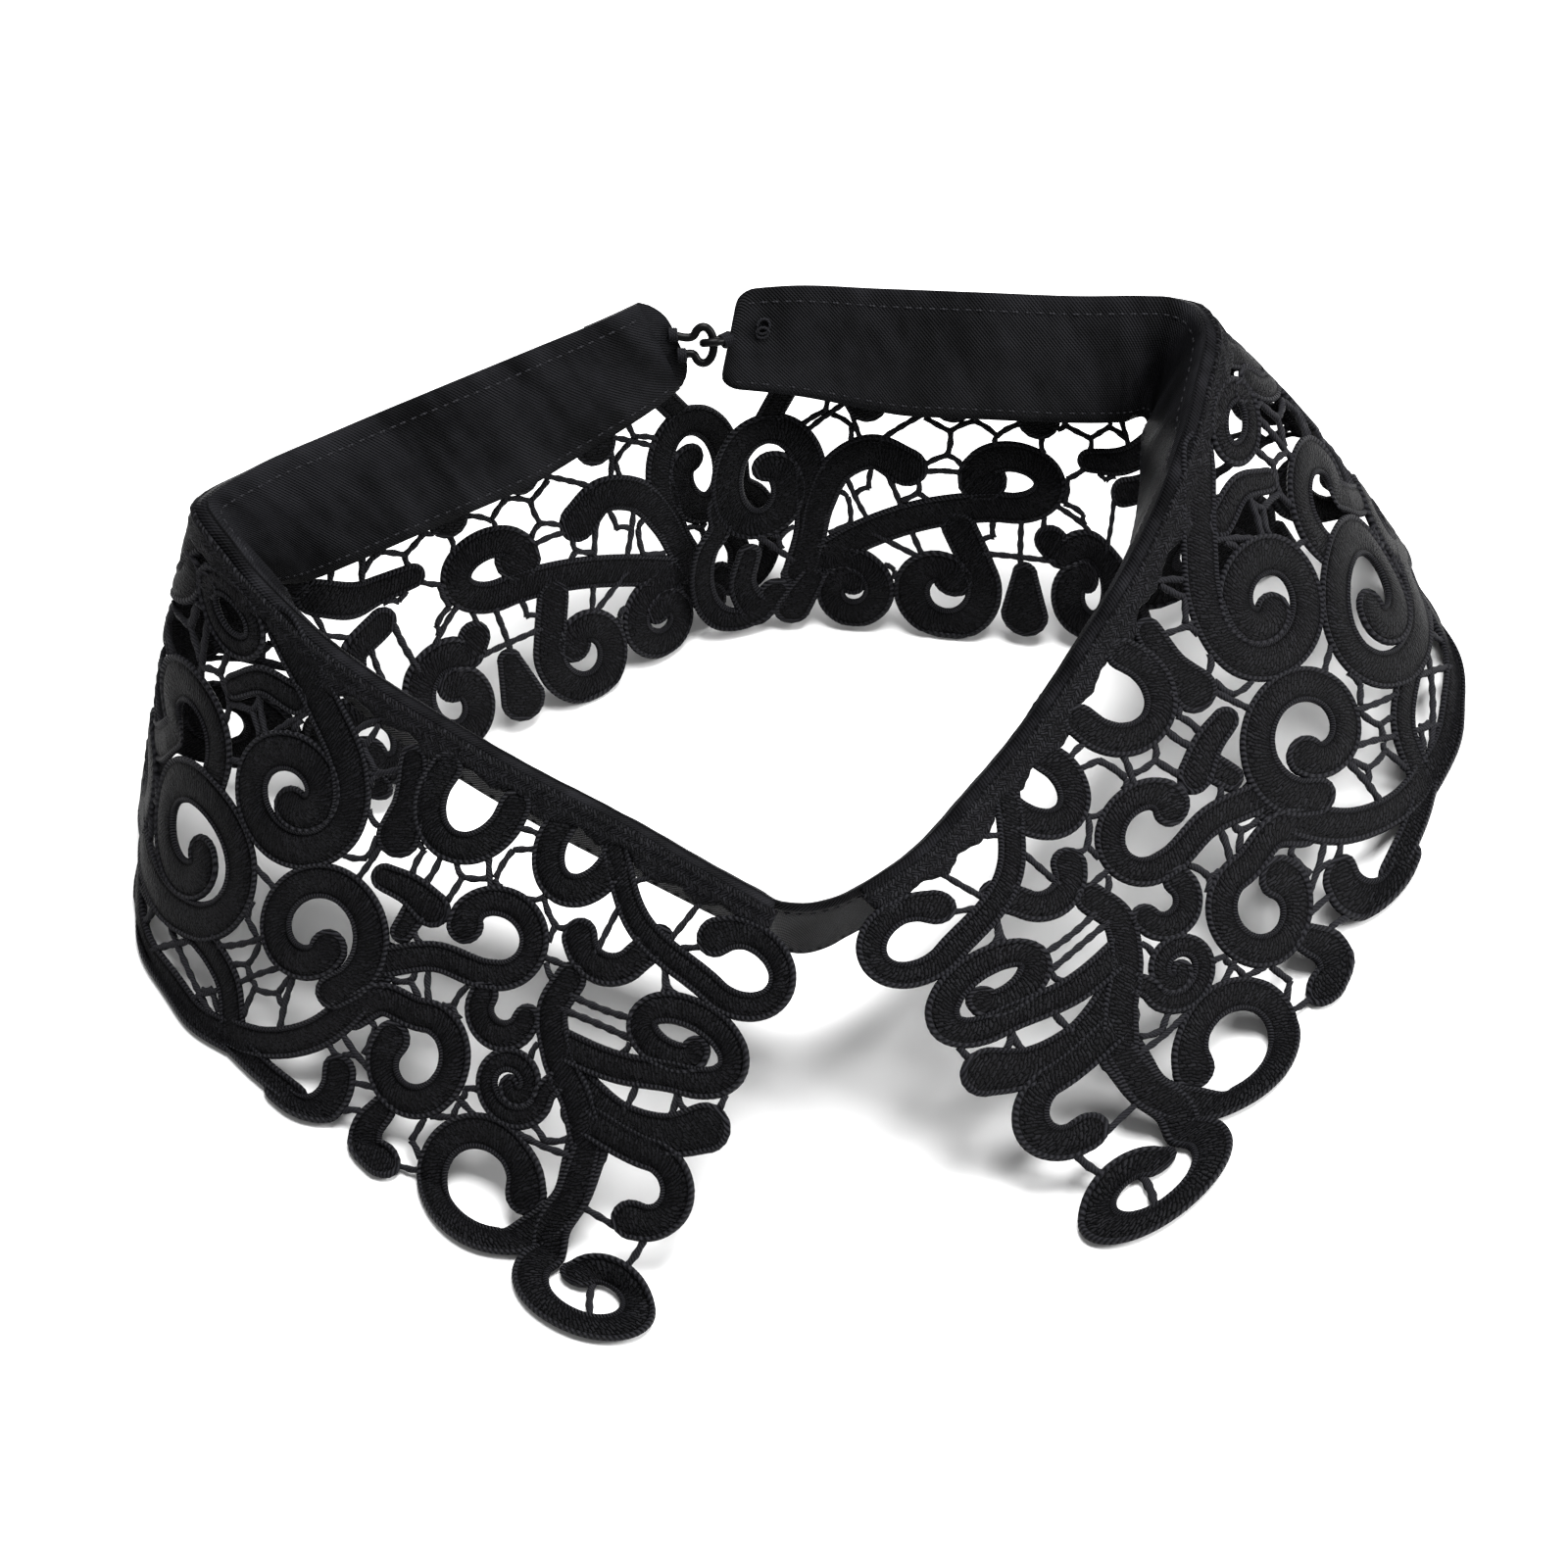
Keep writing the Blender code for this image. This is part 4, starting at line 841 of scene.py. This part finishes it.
net = np.full((len(S_AXIS), len(T_AXIS)), 3.0)
for path in PATHS:
    stamp(net, *path)
found_bars = [bar for bar in (anchored(bar, net) for bar in find_bars(net)) if bar]
for bar in found_bars:
    stamp(net, *bar_path(*bar))
found_bars += net_threads(net)
BAND_LEVELS = [0.08 if i % 2 else 0.02 for i in range(len(SCROLLS))] + [-0.05] * len(STEMS)
band_groups = [band_rings(i, level) for i, level in enumerate(BAND_LEVELS)]
bar_groups = [bar_rings(bar, i) for i, bar in enumerate(found_bars)]
lace_look, bar_look, heading_look = lace_material(), bar_material(), heading_material()
for side_name, leaf in (("left", LEFT), ("right", RIGHT)):
    lace = add_rings(f"lace_{side_name}_bands", band_groups, leaf, lace_look)
    bars = add_rings(f"lace_{side_name}_bars", bar_groups, leaf, bar_look)
    heading = add_rings(f"lace_{side_name}_heading", [heading_rings(0.2, 169.5, 0.0, 3.9)], leaf, heading_look)
    for piece in (lace, bars, heading):
        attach(piece, "root")
    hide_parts(f"lace_{side_name}")

# The neckband.
# A doubled strip of fine black twill, folded at its top edge and topstitched near both edges; its ends are folded in.
STAND_THICK = 1.3
STAND_HIGH = 19.5
STAND_STEP = 3.25
GAP = 0.3
TWILL_DARK, TWILL_LIGHT = (0.0004, 0.0004, 0.0006), (0.0115, 0.0115, 0.0135)
# Columns: s along the roll line, how far the band's foot stands in from its top, its top's height over the roll line.
BAND_SET = ((0, 6.0, -0.6), (30, 4.2, -0.6), (80, 4.6, 0.0), (98, 7.8, 0.8), (112, 10.4, 1.9), (190, 10.4, 1.9))
STAND_START, STAND_END = 170.0, 178.0
SLANT_LEFT, SLANT_RIGHT, TAB_LEFT = 2.4, 3.0, 2.8
END_HIGH, END_LONG = 0.76, 26.0
SLANT_LONG, MITRE_LONG = 20.0, 15.0


def roll_loop():
    """The roll line from the left back end round the front to the right back end, with s of each point."""
    left_s = np.arange(STAND_START, 0.9, -STAND_STEP)
    right_s = np.append(np.arange(1.0, STAND_END - 1, STAND_STEP), STAND_END)
    near_fold = FOLD_AT + np.arange(-4, 5) * STAND_STEP / 2
    left_s, right_s = (np.unique(np.append(some[np.abs(some - FOLD_AT) > STAND_STEP * 2.3], near_fold))
                       for some in (left_s, right_s))
    left_s = left_s[::-1]
    left = spline(LEFT.knots, LEFT.roll, left_s)
    right = spline(RIGHT.knots, RIGHT.roll, right_s)
    left_end, right_end = left[-1], right[0]
    bend = (left_end + right_end) / 2 + np.array([0.0, -3.0, -0.4])
    front = [left_end * (1 - u) ** 2 + bend * 2 * u * (1 - u) + right_end * u**2 for u in (0.2, 0.4, 0.6, 0.8)]
    return np.vstack([left, front, right]), np.concatenate([left_s, np.zeros(4), right_s])


def level_inward(loop, from_left, reach):
    """Unit directions into the ring, across the run between the points a reach before and after."""
    before = np.stack([np.interp(from_left - reach, from_left, loop[:, k]) for k in (0, 1)], axis=1)
    after = np.stack([np.interp(from_left + reach, from_left, loop[:, k]) for k in (0, 1)], axis=1)
    run = (after - before) / np.linalg.norm(after - before, axis=1, keepdims=True)
    return np.stack([-run[:, 1], run[:, 0], np.zeros(len(run))], axis=1)


def stand_sections():
    """Top and foot of the band at each station, mitred at the folds, and the level inward direction there."""
    loop, s = roll_loop()
    steps = np.linalg.norm(np.diff(loop, axis=0), axis=1)
    from_left = np.concatenate([[0], np.cumsum(steps)])
    inward = level_inward(loop, from_left, MITRE_LONG)
    square = level_inward(loop, from_left, 1.5)
    mitre = 1 / np.clip(np.sum(inward * square, axis=1), 0.62, 1)
    at = [row[0] for row in BAND_SET]
    foot_in = np.interp(s, at, [row[1] for row in BAND_SET])
    top = loop + inward * ((LACE_THICK / 2 + GAP + STAND_THICK / 2) * mitre)[:, None]
    top[:, 2] += np.interp(s, at, [row[2] for row in BAND_SET])
    from_end = np.minimum(from_left, from_left[-1] - from_left)
    high = END_HIGH + (1 - END_HIGH) * np.clip(from_end / END_LONG, 0, 1) ** 0.8
    foot = top + inward * (foot_in * high * mitre)[:, None]
    foot[:, 2] -= np.sqrt(STAND_HIGH**2 - foot_in**2) * high
    run = np.stack([inward[:, 1], -inward[:, 0], np.zeros(len(s))], axis=1)
    for end, slant, way in ((0, SLANT_LEFT, -1), (len(s) - 1, SLANT_RIGHT, 1)):
        near = np.clip(1 - np.abs(from_left - from_left[end]) / SLANT_LONG, 0, 1) ** 1.5
        foot += run * (way * slant * near)[:, None]
    tab = -run * (TAB_LEFT * np.clip(1 - from_left / SLANT_LONG, 0, 1) ** 1.5)[:, None]
    return top, foot, inward, tab


# Soft creases of the band. Columns: place along it from its left back end, reach, depth, lean.
BAND_CREASES = ((9, 4, 0.25, 3), (24, 6, -0.2, -4), (41, 5, 0.22, 5), (58, 4, -0.2, 2), (88, 7, 0.2, 4), (120, 6, -0.2, 3),
                (150, 5, 0.2, -3), (196, 6, 0.2, 2), (236, 6, -0.2, 4), (276, 5, 0.22, -3), (291, 4, -0.25, 4),
                (309, 6, 0.25, -5), (326, 4, -0.2, 4), (341, 5, 0.2, 3), (355, 3, -0.2, 2))
CREASE_DEEP, CREASE_WIDE = 2.4, 0.45
BAND_ROWS = 18
TOP_SEAM, FOOT_SEAM = 2.6, 1.7
END_ROUND = 2.6


def band_surface(step=1.1, with_tab=0.0):
    """The band's middle surface: points by station and row, outward directions, and distance along it."""
    top, foot, inward, tab = stand_sections()
    length = np.concatenate([[0], np.cumsum(np.linalg.norm(np.diff(top, axis=0), axis=1))])
    near_end = length[-1] - END_ROUND * np.array([1, 0.75, 0.5, 0.32, 0.16, 0.06, 0.0])
    at = np.append(np.arange(0, near_end[0] - step / 2, step), near_end)
    top, foot, inward, tab = (spline(length, values, at) for values in (top, foot, inward, tab))
    rows = np.linspace(0, 1, BAND_ROWS)
    from_end = np.clip(1 - (length[-1] - at) / END_ROUND, 0, 1)
    rounded = (1 - np.sqrt(1 - from_end**2)) * END_ROUND / STAND_HIGH
    middle = np.zeros((len(at), BAND_ROWS, 3))
    for j, row in enumerate(rows):
        u = (rounded + (1 - 2 * rounded) * row)[:, None]
        middle[:, j] = top * (1 - u) + foot * u + (inward * 0.4 + tab * with_tab) * np.sin(math.pi * u)
    out = np.cross(np.gradient(middle, axis=0), np.gradient(middle, axis=1))
    out /= np.linalg.norm(out, axis=-1, keepdims=True)
    if np.sum(out[0, 0] * inward[0]) > 0:
        out = -out
    for place, reach, depth, lean in BAND_CREASES:
        near = np.exp(-((at[:, None] - place - lean * (rows[None] - 0.5)) / (reach * CREASE_WIDE)) ** 2)
        middle += out * (depth * CREASE_DEEP * near * np.sin(np.pi * rows[None]))[..., None]
    return middle, out, at, rows


def add_band(look):
    middle, out, at, rows = band_surface()
    down = rows * STAND_HIGH
    from_side = np.minimum(down, STAND_HIGH - down)
    half = STAND_THICK / 2 * np.sqrt(np.clip(1 - (1 - np.clip(from_side / 0.55, 0, 1)) ** 2, 0.06, 1))
    for seam in (TOP_SEAM, STAND_HIGH - FOOT_SEAM):
        half = half - 0.16 * np.exp(-((down - seam) / 0.45) ** 2)
    pucker = 0.05 * np.sin(at * 2 * math.pi / 5.2)[:, None] * np.exp(-((from_side - 2.6) / 1.6) ** 2)[None]
    face = middle + out * (half[None] + pucker)[..., None]
    back = middle - out * (half[None] - pucker)[..., None]
    around = np.concatenate([face, back[:, ::-1]], axis=1)
    count, ring = around.shape[:2]
    faces = rings_to_faces(count, ring, 0)
    uv = np.stack([np.repeat(at, ring), np.tile(np.concatenate([down, down[::-1] + 40]), count)], axis=1)
    return add_piece("neckband", around.reshape(-1, 3), faces, look, uv)


def twill_group():
    """Fine twill: raised diagonal ribs crossed by the yarns, from millimetres along and across; its tone holds a
    painted highlight on the raised ribs and long streaks of painted light and shade standing in for the band's
    creases, over random cloudy tone.
    """
    group, given, made = new_group("fine_twill", (("Along", 0), ("Across", 0), ("Rib", 0.55)), ("Height", "Tone"))
    diagonal = math_node(group, "MULTIPLY_ADD", given["Across"], 0.9, given["Along"])
    ribs = math_node(group, "SINE", math_node(group, "MULTIPLY", math_node(group, "DIVIDE", diagonal, given["Rib"]), 2 * math.pi))
    yarns = math_node(group, "SINE", math_node(group, "MULTIPLY", given["Across"], 2 * math.pi / 0.36))
    height = math_node(group, "MULTIPLY_ADD", yarns, 0.3, ribs)
    place = group.nodes.new("ShaderNodeCombineXYZ")
    group.links.new(given["Along"], place.inputs["X"])
    group.links.new(given["Across"], place.inputs["Y"])
    cloud = group.nodes.new("ShaderNodeTexNoise")
    cloud.inputs["Scale"].default_value = 0.35
    cloud.inputs["Detail"].default_value = 4
    group.links.new(place.outputs[0], cloud.inputs["Vector"])
    # Painted light and shade: long soft streaks of lighter and darker tone that stand in for the shading of the
    # band's creases.
    long_way = group.nodes.new("ShaderNodeCombineXYZ")
    group.links.new(math_node(group, "MULTIPLY_ADD", given["Across"], 0.35, given["Along"]), long_way.inputs["X"])
    group.links.new(math_node(group, "MULTIPLY", given["Across"], 0.3), long_way.inputs["Y"])
    painted_crease_streaks = group.nodes.new("ShaderNodeTexNoise")
    painted_crease_streaks.inputs["Scale"].default_value = 0.13
    painted_crease_streaks.inputs["Detail"].default_value = 3
    group.links.new(long_way.outputs[0], painted_crease_streaks.inputs["Vector"])
    painted_crease_shade = math_node(group, "MULTIPLY_ADD", painted_crease_streaks.outputs["Fac"], 3.0, -1.3)
    # The tone rises with the ribs' height, a painted highlight on the ribs, added to the painted crease streaks and
    # the random cloudy tone.
    tone = math_node(group, "MULTIPLY_ADD", height, 0.22, math_node(group, "MULTIPLY_ADD", painted_crease_shade, 0.8,
                     math_node(group, "MULTIPLY", cloud.outputs["Fac"], 0.5)))
    group.links.new(math_node(group, "MULTIPLY_ADD", height, 0.5, 0.5), made["Height"])
    group.links.new(tone, made["Tone"])
    return group


def twill_material():
    made, tree, mix, bump = thread_material("black_twill", TWILL_DARK, TWILL_LIGHT, 0.5, 0.006)
    along_it, across = along_across(tree)
    weave = place_group(tree, twill_group(), Along=along_it, Across=across)
    tree.links.new(weave.outputs["Height"], bump.inputs["Height"])
    tree.links.new(weave.outputs["Tone"], mix.inputs["Factor"])
    bump.inputs["Distance"].default_value = 0.00016
    return made


STITCH_LONG, STITCH_GAP, STITCH_RADIUS = 1.3, 0.5, 0.19
STITCH_ROUND = 6


def add_topstitching(look):
    """Two rows of machine stitches on each face of the band, every stitch a short thread that dips at its ends."""
    middle, out, at, rows = band_surface(0.55)
    half = STAND_THICK / 2 - 0.12
    points, faces, uv = [], [], []
    for seam in (TOP_SEAM, STAND_HIGH - FOOT_SEAM):
        u = seam / STAND_HIGH * (BAND_ROWS - 1)
        j, v = int(u), u % 1
        line = middle[:, j] * (1 - v) + middle[:, j + 1] * v
        up = out[:, j]
        for way in (1, -1):
            start = 1.5
            while start + STITCH_LONG < at[-1] - 1:
                first = len(points) * STITCH_ROUND
                count = 6
                for n in range(count):
                    w = n / (count - 1)
                    here = start + STITCH_LONG * w
                    centre = np.array([np.interp(here, at, line[:, c]) for c in range(3)])
                    lift = np.array([np.interp(here, at, up[:, c]) for c in range(3)]) * way
                    ahead = np.array([np.interp(here + 0.5, at, line[:, c]) for c in range(3)]) - centre
                    ahead /= np.linalg.norm(ahead) + 1e-9
                    side = np.cross(ahead, lift)
                    rise = half + 0.14 * math.sin(math.pi * w) ** 0.5 - 0.12
                    thick = STITCH_RADIUS * (0.55 + 0.45 * math.sin(math.pi * w))
                    ring = [centre + lift * (rise + thick * math.sin(a)) + side * thick * math.cos(a)
                            for a in np.arange(STITCH_ROUND) * 2 * math.pi / STITCH_ROUND]
                    points.append(ring)
                    uv += [(here, c * 0.2) for c in range(STITCH_ROUND)]
                made = rings_to_faces(count, STITCH_ROUND, first)
                faces += made if way < 0 else [tuple(reversed(f)) for f in made]
                start += STITCH_LONG + STITCH_GAP
    return add_piece("topstitching", np.array(points).reshape(-1, 3), faces, look, uv)


def add_under_layer(look):
    """The turned-in end of the band's outer layer, which shows past the left end of the inner one."""
    middle, out, at, rows = band_surface(0.9, 1.0)
    middle, out, at = middle[:11], out[:11], at[:11]
    run = middle[0] - middle[1]
    run /= np.linalg.norm(run, axis=1, keepdims=True)
    past = middle[0] + run * (1.0 + 0.5 * np.sin(rows * 9)[:, None])
    middle, out, at = np.concatenate([[past], middle]), np.concatenate([out[:1], out]), np.append(-1.2, at)
    inset = np.clip(np.minimum(rows, 1 - rows) / 0.06, 0, 1)
    middle[0] += (middle[1] - middle[0]) * (1 - inset)[:, None] * 0.35
    face, back = middle + out * 0.95, middle + out * 0.3
    around = np.concatenate([face, back[:, ::-1]], axis=1)
    count, ring = around.shape[:2]
    down = rows * STAND_HIGH
    uv = np.stack([np.repeat(at, ring), np.tile(np.concatenate([down, down[::-1] + 40]), count)], axis=1)
    return add_piece("under_layer", around.reshape(-1, 3), rings_to_faces(count, ring, 0), look, uv)


def add_seam_fold(look):
    """The join of thread that holds the lace's top edge to the band's."""
    top, _, inward, _ = stand_sections()
    _, s = roll_loop()
    points, faces, uv, first = [], [], [], 0
    for leaf, mine in ((LEFT, np.arange(len(s)) < int(np.argmin(s > 0))), (RIGHT, np.arange(len(s)) > int(np.argmin(s)) + 3)):
        mine = mine & (s > 0.3) & (s < 168)
        knots = np.concatenate([[0], np.cumsum(np.linalg.norm(np.diff(top[mine], axis=0), axis=1))])
        at = np.linspace(0, knots[-1], int(knots[-1] / 0.9))
        here, place = spline(knots, top[mine], at), np.interp(at, knots, s[mine])
        lace = leaf.middle(place, np.zeros_like(place))
        out = leaf.normal(place, np.zeros_like(place))
        down = leaf.middle(place, np.full_like(place, 1.0)) - lace
        up = np.array([0, 0, 1.0])
        profile = (here - out * 0.1, (here + lace) / 2 + up * 0.12, lace + down * 0.05 + out * 0.1,
                   lace + down * 0.8 - out * 0.1, lace + down * 0.5 - out * 0.6, (here + lace) / 2 - up * 0.9,
                   here - up * 0.7)
        rings = np.stack(profile, axis=1)
        made = rings_to_faces(len(at), len(profile), first)
        faces += made
        points.append(rings.reshape(-1, 3))
        uv += [(along_it, j * 0.7) for along_it in at for j in range(len(profile))]
        first += len(at) * len(profile)
    return add_piece("seam_fold", np.vstack(points), faces, look, uv)


def add_threads(name, lines, radius, look):
    """Short hand-sewn threads along rows of points."""
    points, faces, uv, first = [], [], [], 0
    for line in lines:
        line = np.array(line, float)
        gaps = np.concatenate([[0], np.cumsum(np.linalg.norm(np.diff(line, axis=0), axis=1))])
        at = np.linspace(0, gaps[-1], max(6, int(gaps[-1] / 0.2)))
        line = spline(gaps, line, at)
        run = np.gradient(line, axis=0)
        run /= np.linalg.norm(run, axis=1, keepdims=True)
        side = np.cross(run, (0.31, 0.2, 0.93))
        side /= np.linalg.norm(side, axis=1, keepdims=True)
        over = np.cross(run, side)
        turns = np.arange(6) * math.pi / 3
        rings = np.stack([line + radius * (math.cos(a) * side + math.sin(a) * over) for a in turns], axis=1)
        faces += rings_to_faces(len(line), 6, first)
        points.append(rings.reshape(-1, 3))
        uv += [(here, a * radius) for here in at for a in turns]
        first += len(line) * 6
    return add_piece(name, np.vstack(points), faces, look, uv)


twill_look = twill_material()
neckband = add_band(twill_look)
under_layer = add_under_layer(twill_look)
seam_fold = add_seam_fold(twill_look)
sewing_look = bar_material("sewing_thread", (0.022, 0.022, 0.025))
topstitching = add_topstitching(sewing_look)
for piece in (neckband, under_layer, seam_fold, topstitching):
    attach(piece, "root")
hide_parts("stand")

# The hook and eye.
# A small hook of black-coated wire on the right end of the band and a wire ring on the left end, each sewn on.
WIRE_RADIUS = 0.6
# Columns: x y z of the wire's centre line.
HOOK_PATH = ((-8.65, 66.16, 45.44), (-9.4, 65.39, 45.9), (-10.6, 64.87, 46.2), (-11.9, 65.03, 45.88),
             (-12.2, 65.9, 45.0), (-12.0, 66.7, 44.3))
EYE_CENTRE, EYE_HALF_WIDE, EYE_HALF_TALL, EYE_LEAN = (-12.2, 65.75, 44.75), 1.6, 2.8, 31.0
EYE_LEGS, EYE_OPENING = (3.9, 2.5), 34


def eye_points():
    """A ring left open on the band's side, where its two legs go in."""
    lean = math.radians(EYE_LEAN)
    turns = [180 - EYE_OPENING - (360 - 2 * EYE_OPENING) * i / 16 for i in range(17)]
    flat = [(EYE_HALF_WIDE * math.cos(math.radians(a)), EYE_HALF_TALL * math.sin(math.radians(a))) for a in turns]
    upper, lower = flat[0], flat[-1]
    flat = [(upper[0] - EYE_LEGS[0], upper[1])] + flat + [(lower[0] - EYE_LEGS[1], lower[1])]
    x, y, z = EYE_CENTRE
    return [(x + across, y + up * math.sin(lean), z + up * math.cos(lean)) for across, up in flat]


def wire_material():
    made = bpy.data.materials.new("black_wire")
    made.use_nodes = True
    tree = made.node_tree
    shader = tree.nodes["Principled BSDF"]
    worn = tree.nodes.new("ShaderNodeTexNoise")
    worn.inputs["Scale"].default_value = 900
    shade = tree.nodes.new("ShaderNodeMix")
    shade.data_type = "RGBA"
    shade.inputs["A"].default_value = (0.0008, 0.0008, 0.001, 1)
    shade.inputs["B"].default_value = (0.004, 0.004, 0.0045, 1)
    tree.links.new(worn.outputs["Fac"], shade.inputs["Factor"])
    tree.links.new(shade.outputs["Result"], shader.inputs["Base Color"])
    shader.inputs["Roughness"].default_value = 0.34
    shader.inputs["Specular IOR Level"].default_value = 0.1
    return made


def add_wire(name, points, look, slot):
    """A round wire along smoothed points."""
    points = np.array(points, float)
    gaps = np.concatenate([[0], np.cumsum(np.linalg.norm(np.diff(points, axis=0), axis=1))])
    at = np.linspace(0, gaps[-1], int(gaps[-1] / 0.25) + 4)
    line = spline(gaps, points, at)
    run = np.gradient(line, axis=0)
    run /= np.linalg.norm(run, axis=1, keepdims=True)
    side = np.cross(run[0], (0.0, 0.5, 0.86))
    rings = []
    for here, ahead in zip(line, run):
        side = side - ahead * np.dot(side, ahead)
        side /= np.linalg.norm(side)
        over = np.cross(ahead, side)
        turns = np.arange(12) * math.pi / 6
        rings.append(here + WIRE_RADIUS * 1.12 * (np.outer(np.cos(turns), side) + np.outer(np.sin(turns), over)))
    faces = rings_to_faces(len(line), 12, 0)
    obj = add_piece(name, np.array(rings).reshape(-1, 3), faces, look)
    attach(obj, "root")
    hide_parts(slot)
    return obj


wire_look = wire_material()
add_wire("hook_wire", HOOK_PATH, wire_look, "hook")
add_wire("eye_wire", eye_points(), wire_look, "eye")


def wrap(centre, axis, tall, wide, radius_tall, turns, spread):
    """Turns of sewing thread round a wire or a pair of wires: a flat oval coil along its axis."""
    centre, axis, tall, wide = (np.array(v, float) for v in (centre, axis, tall, wide))
    angle = np.linspace(0, turns * 2 * math.pi, turns * 14)
    climb = (angle / angle[-1] - 0.5) * spread
    return (centre + np.outer(climb, axis) + np.outer(np.sin(angle) * radius_tall, tall)
            + np.outer(np.cos(angle) * 0.95, wide))


lean = math.radians(EYE_LEAN)
leg = (0, math.sin(lean), math.cos(lean))
square = (0, math.cos(lean), -math.sin(lean))
x, y, z = EYE_CENTRE
leg_rise = EYE_HALF_TALL * math.sin(math.radians(EYE_OPENING))
sewing = [wrap((x - EYE_HALF_WIDE - from_ring, y + leg[1] * up, z + leg[2] * up), (1, 0, 0), leg, square, 0.9, 4, 1.3)
          for up, from_ring in ((leg_rise, 2.9), (-leg_rise, 1.6))]
sewing.append(wrap(HOOK_PATH[0], (0.8, 0.6, -0.1), (0, 0.1, 1), (-0.6, 0.8, 0), 0.95, 5, 1.8))
middle, out, at, rows = band_surface()
near = int(np.argmin(abs(at - (at[-1] - 5.0))))
for row, size in ((6, 1.15), (7, 0.8)):
    spot = middle[near, row] - out[near, row] * 0.85
    ahead = middle[near + 1, row] - middle[near, row]
    below = middle[near, row + 1] - middle[near, row]
    sewing.append(wrap(spot, -out[near, row] * 0.5, below / np.linalg.norm(below), ahead / np.linalg.norm(ahead),
                       size, 2, 0.7))
closure_sewing = add_threads("closure_sewing", sewing, 0.24, bar_look)
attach(closure_sewing, "root")
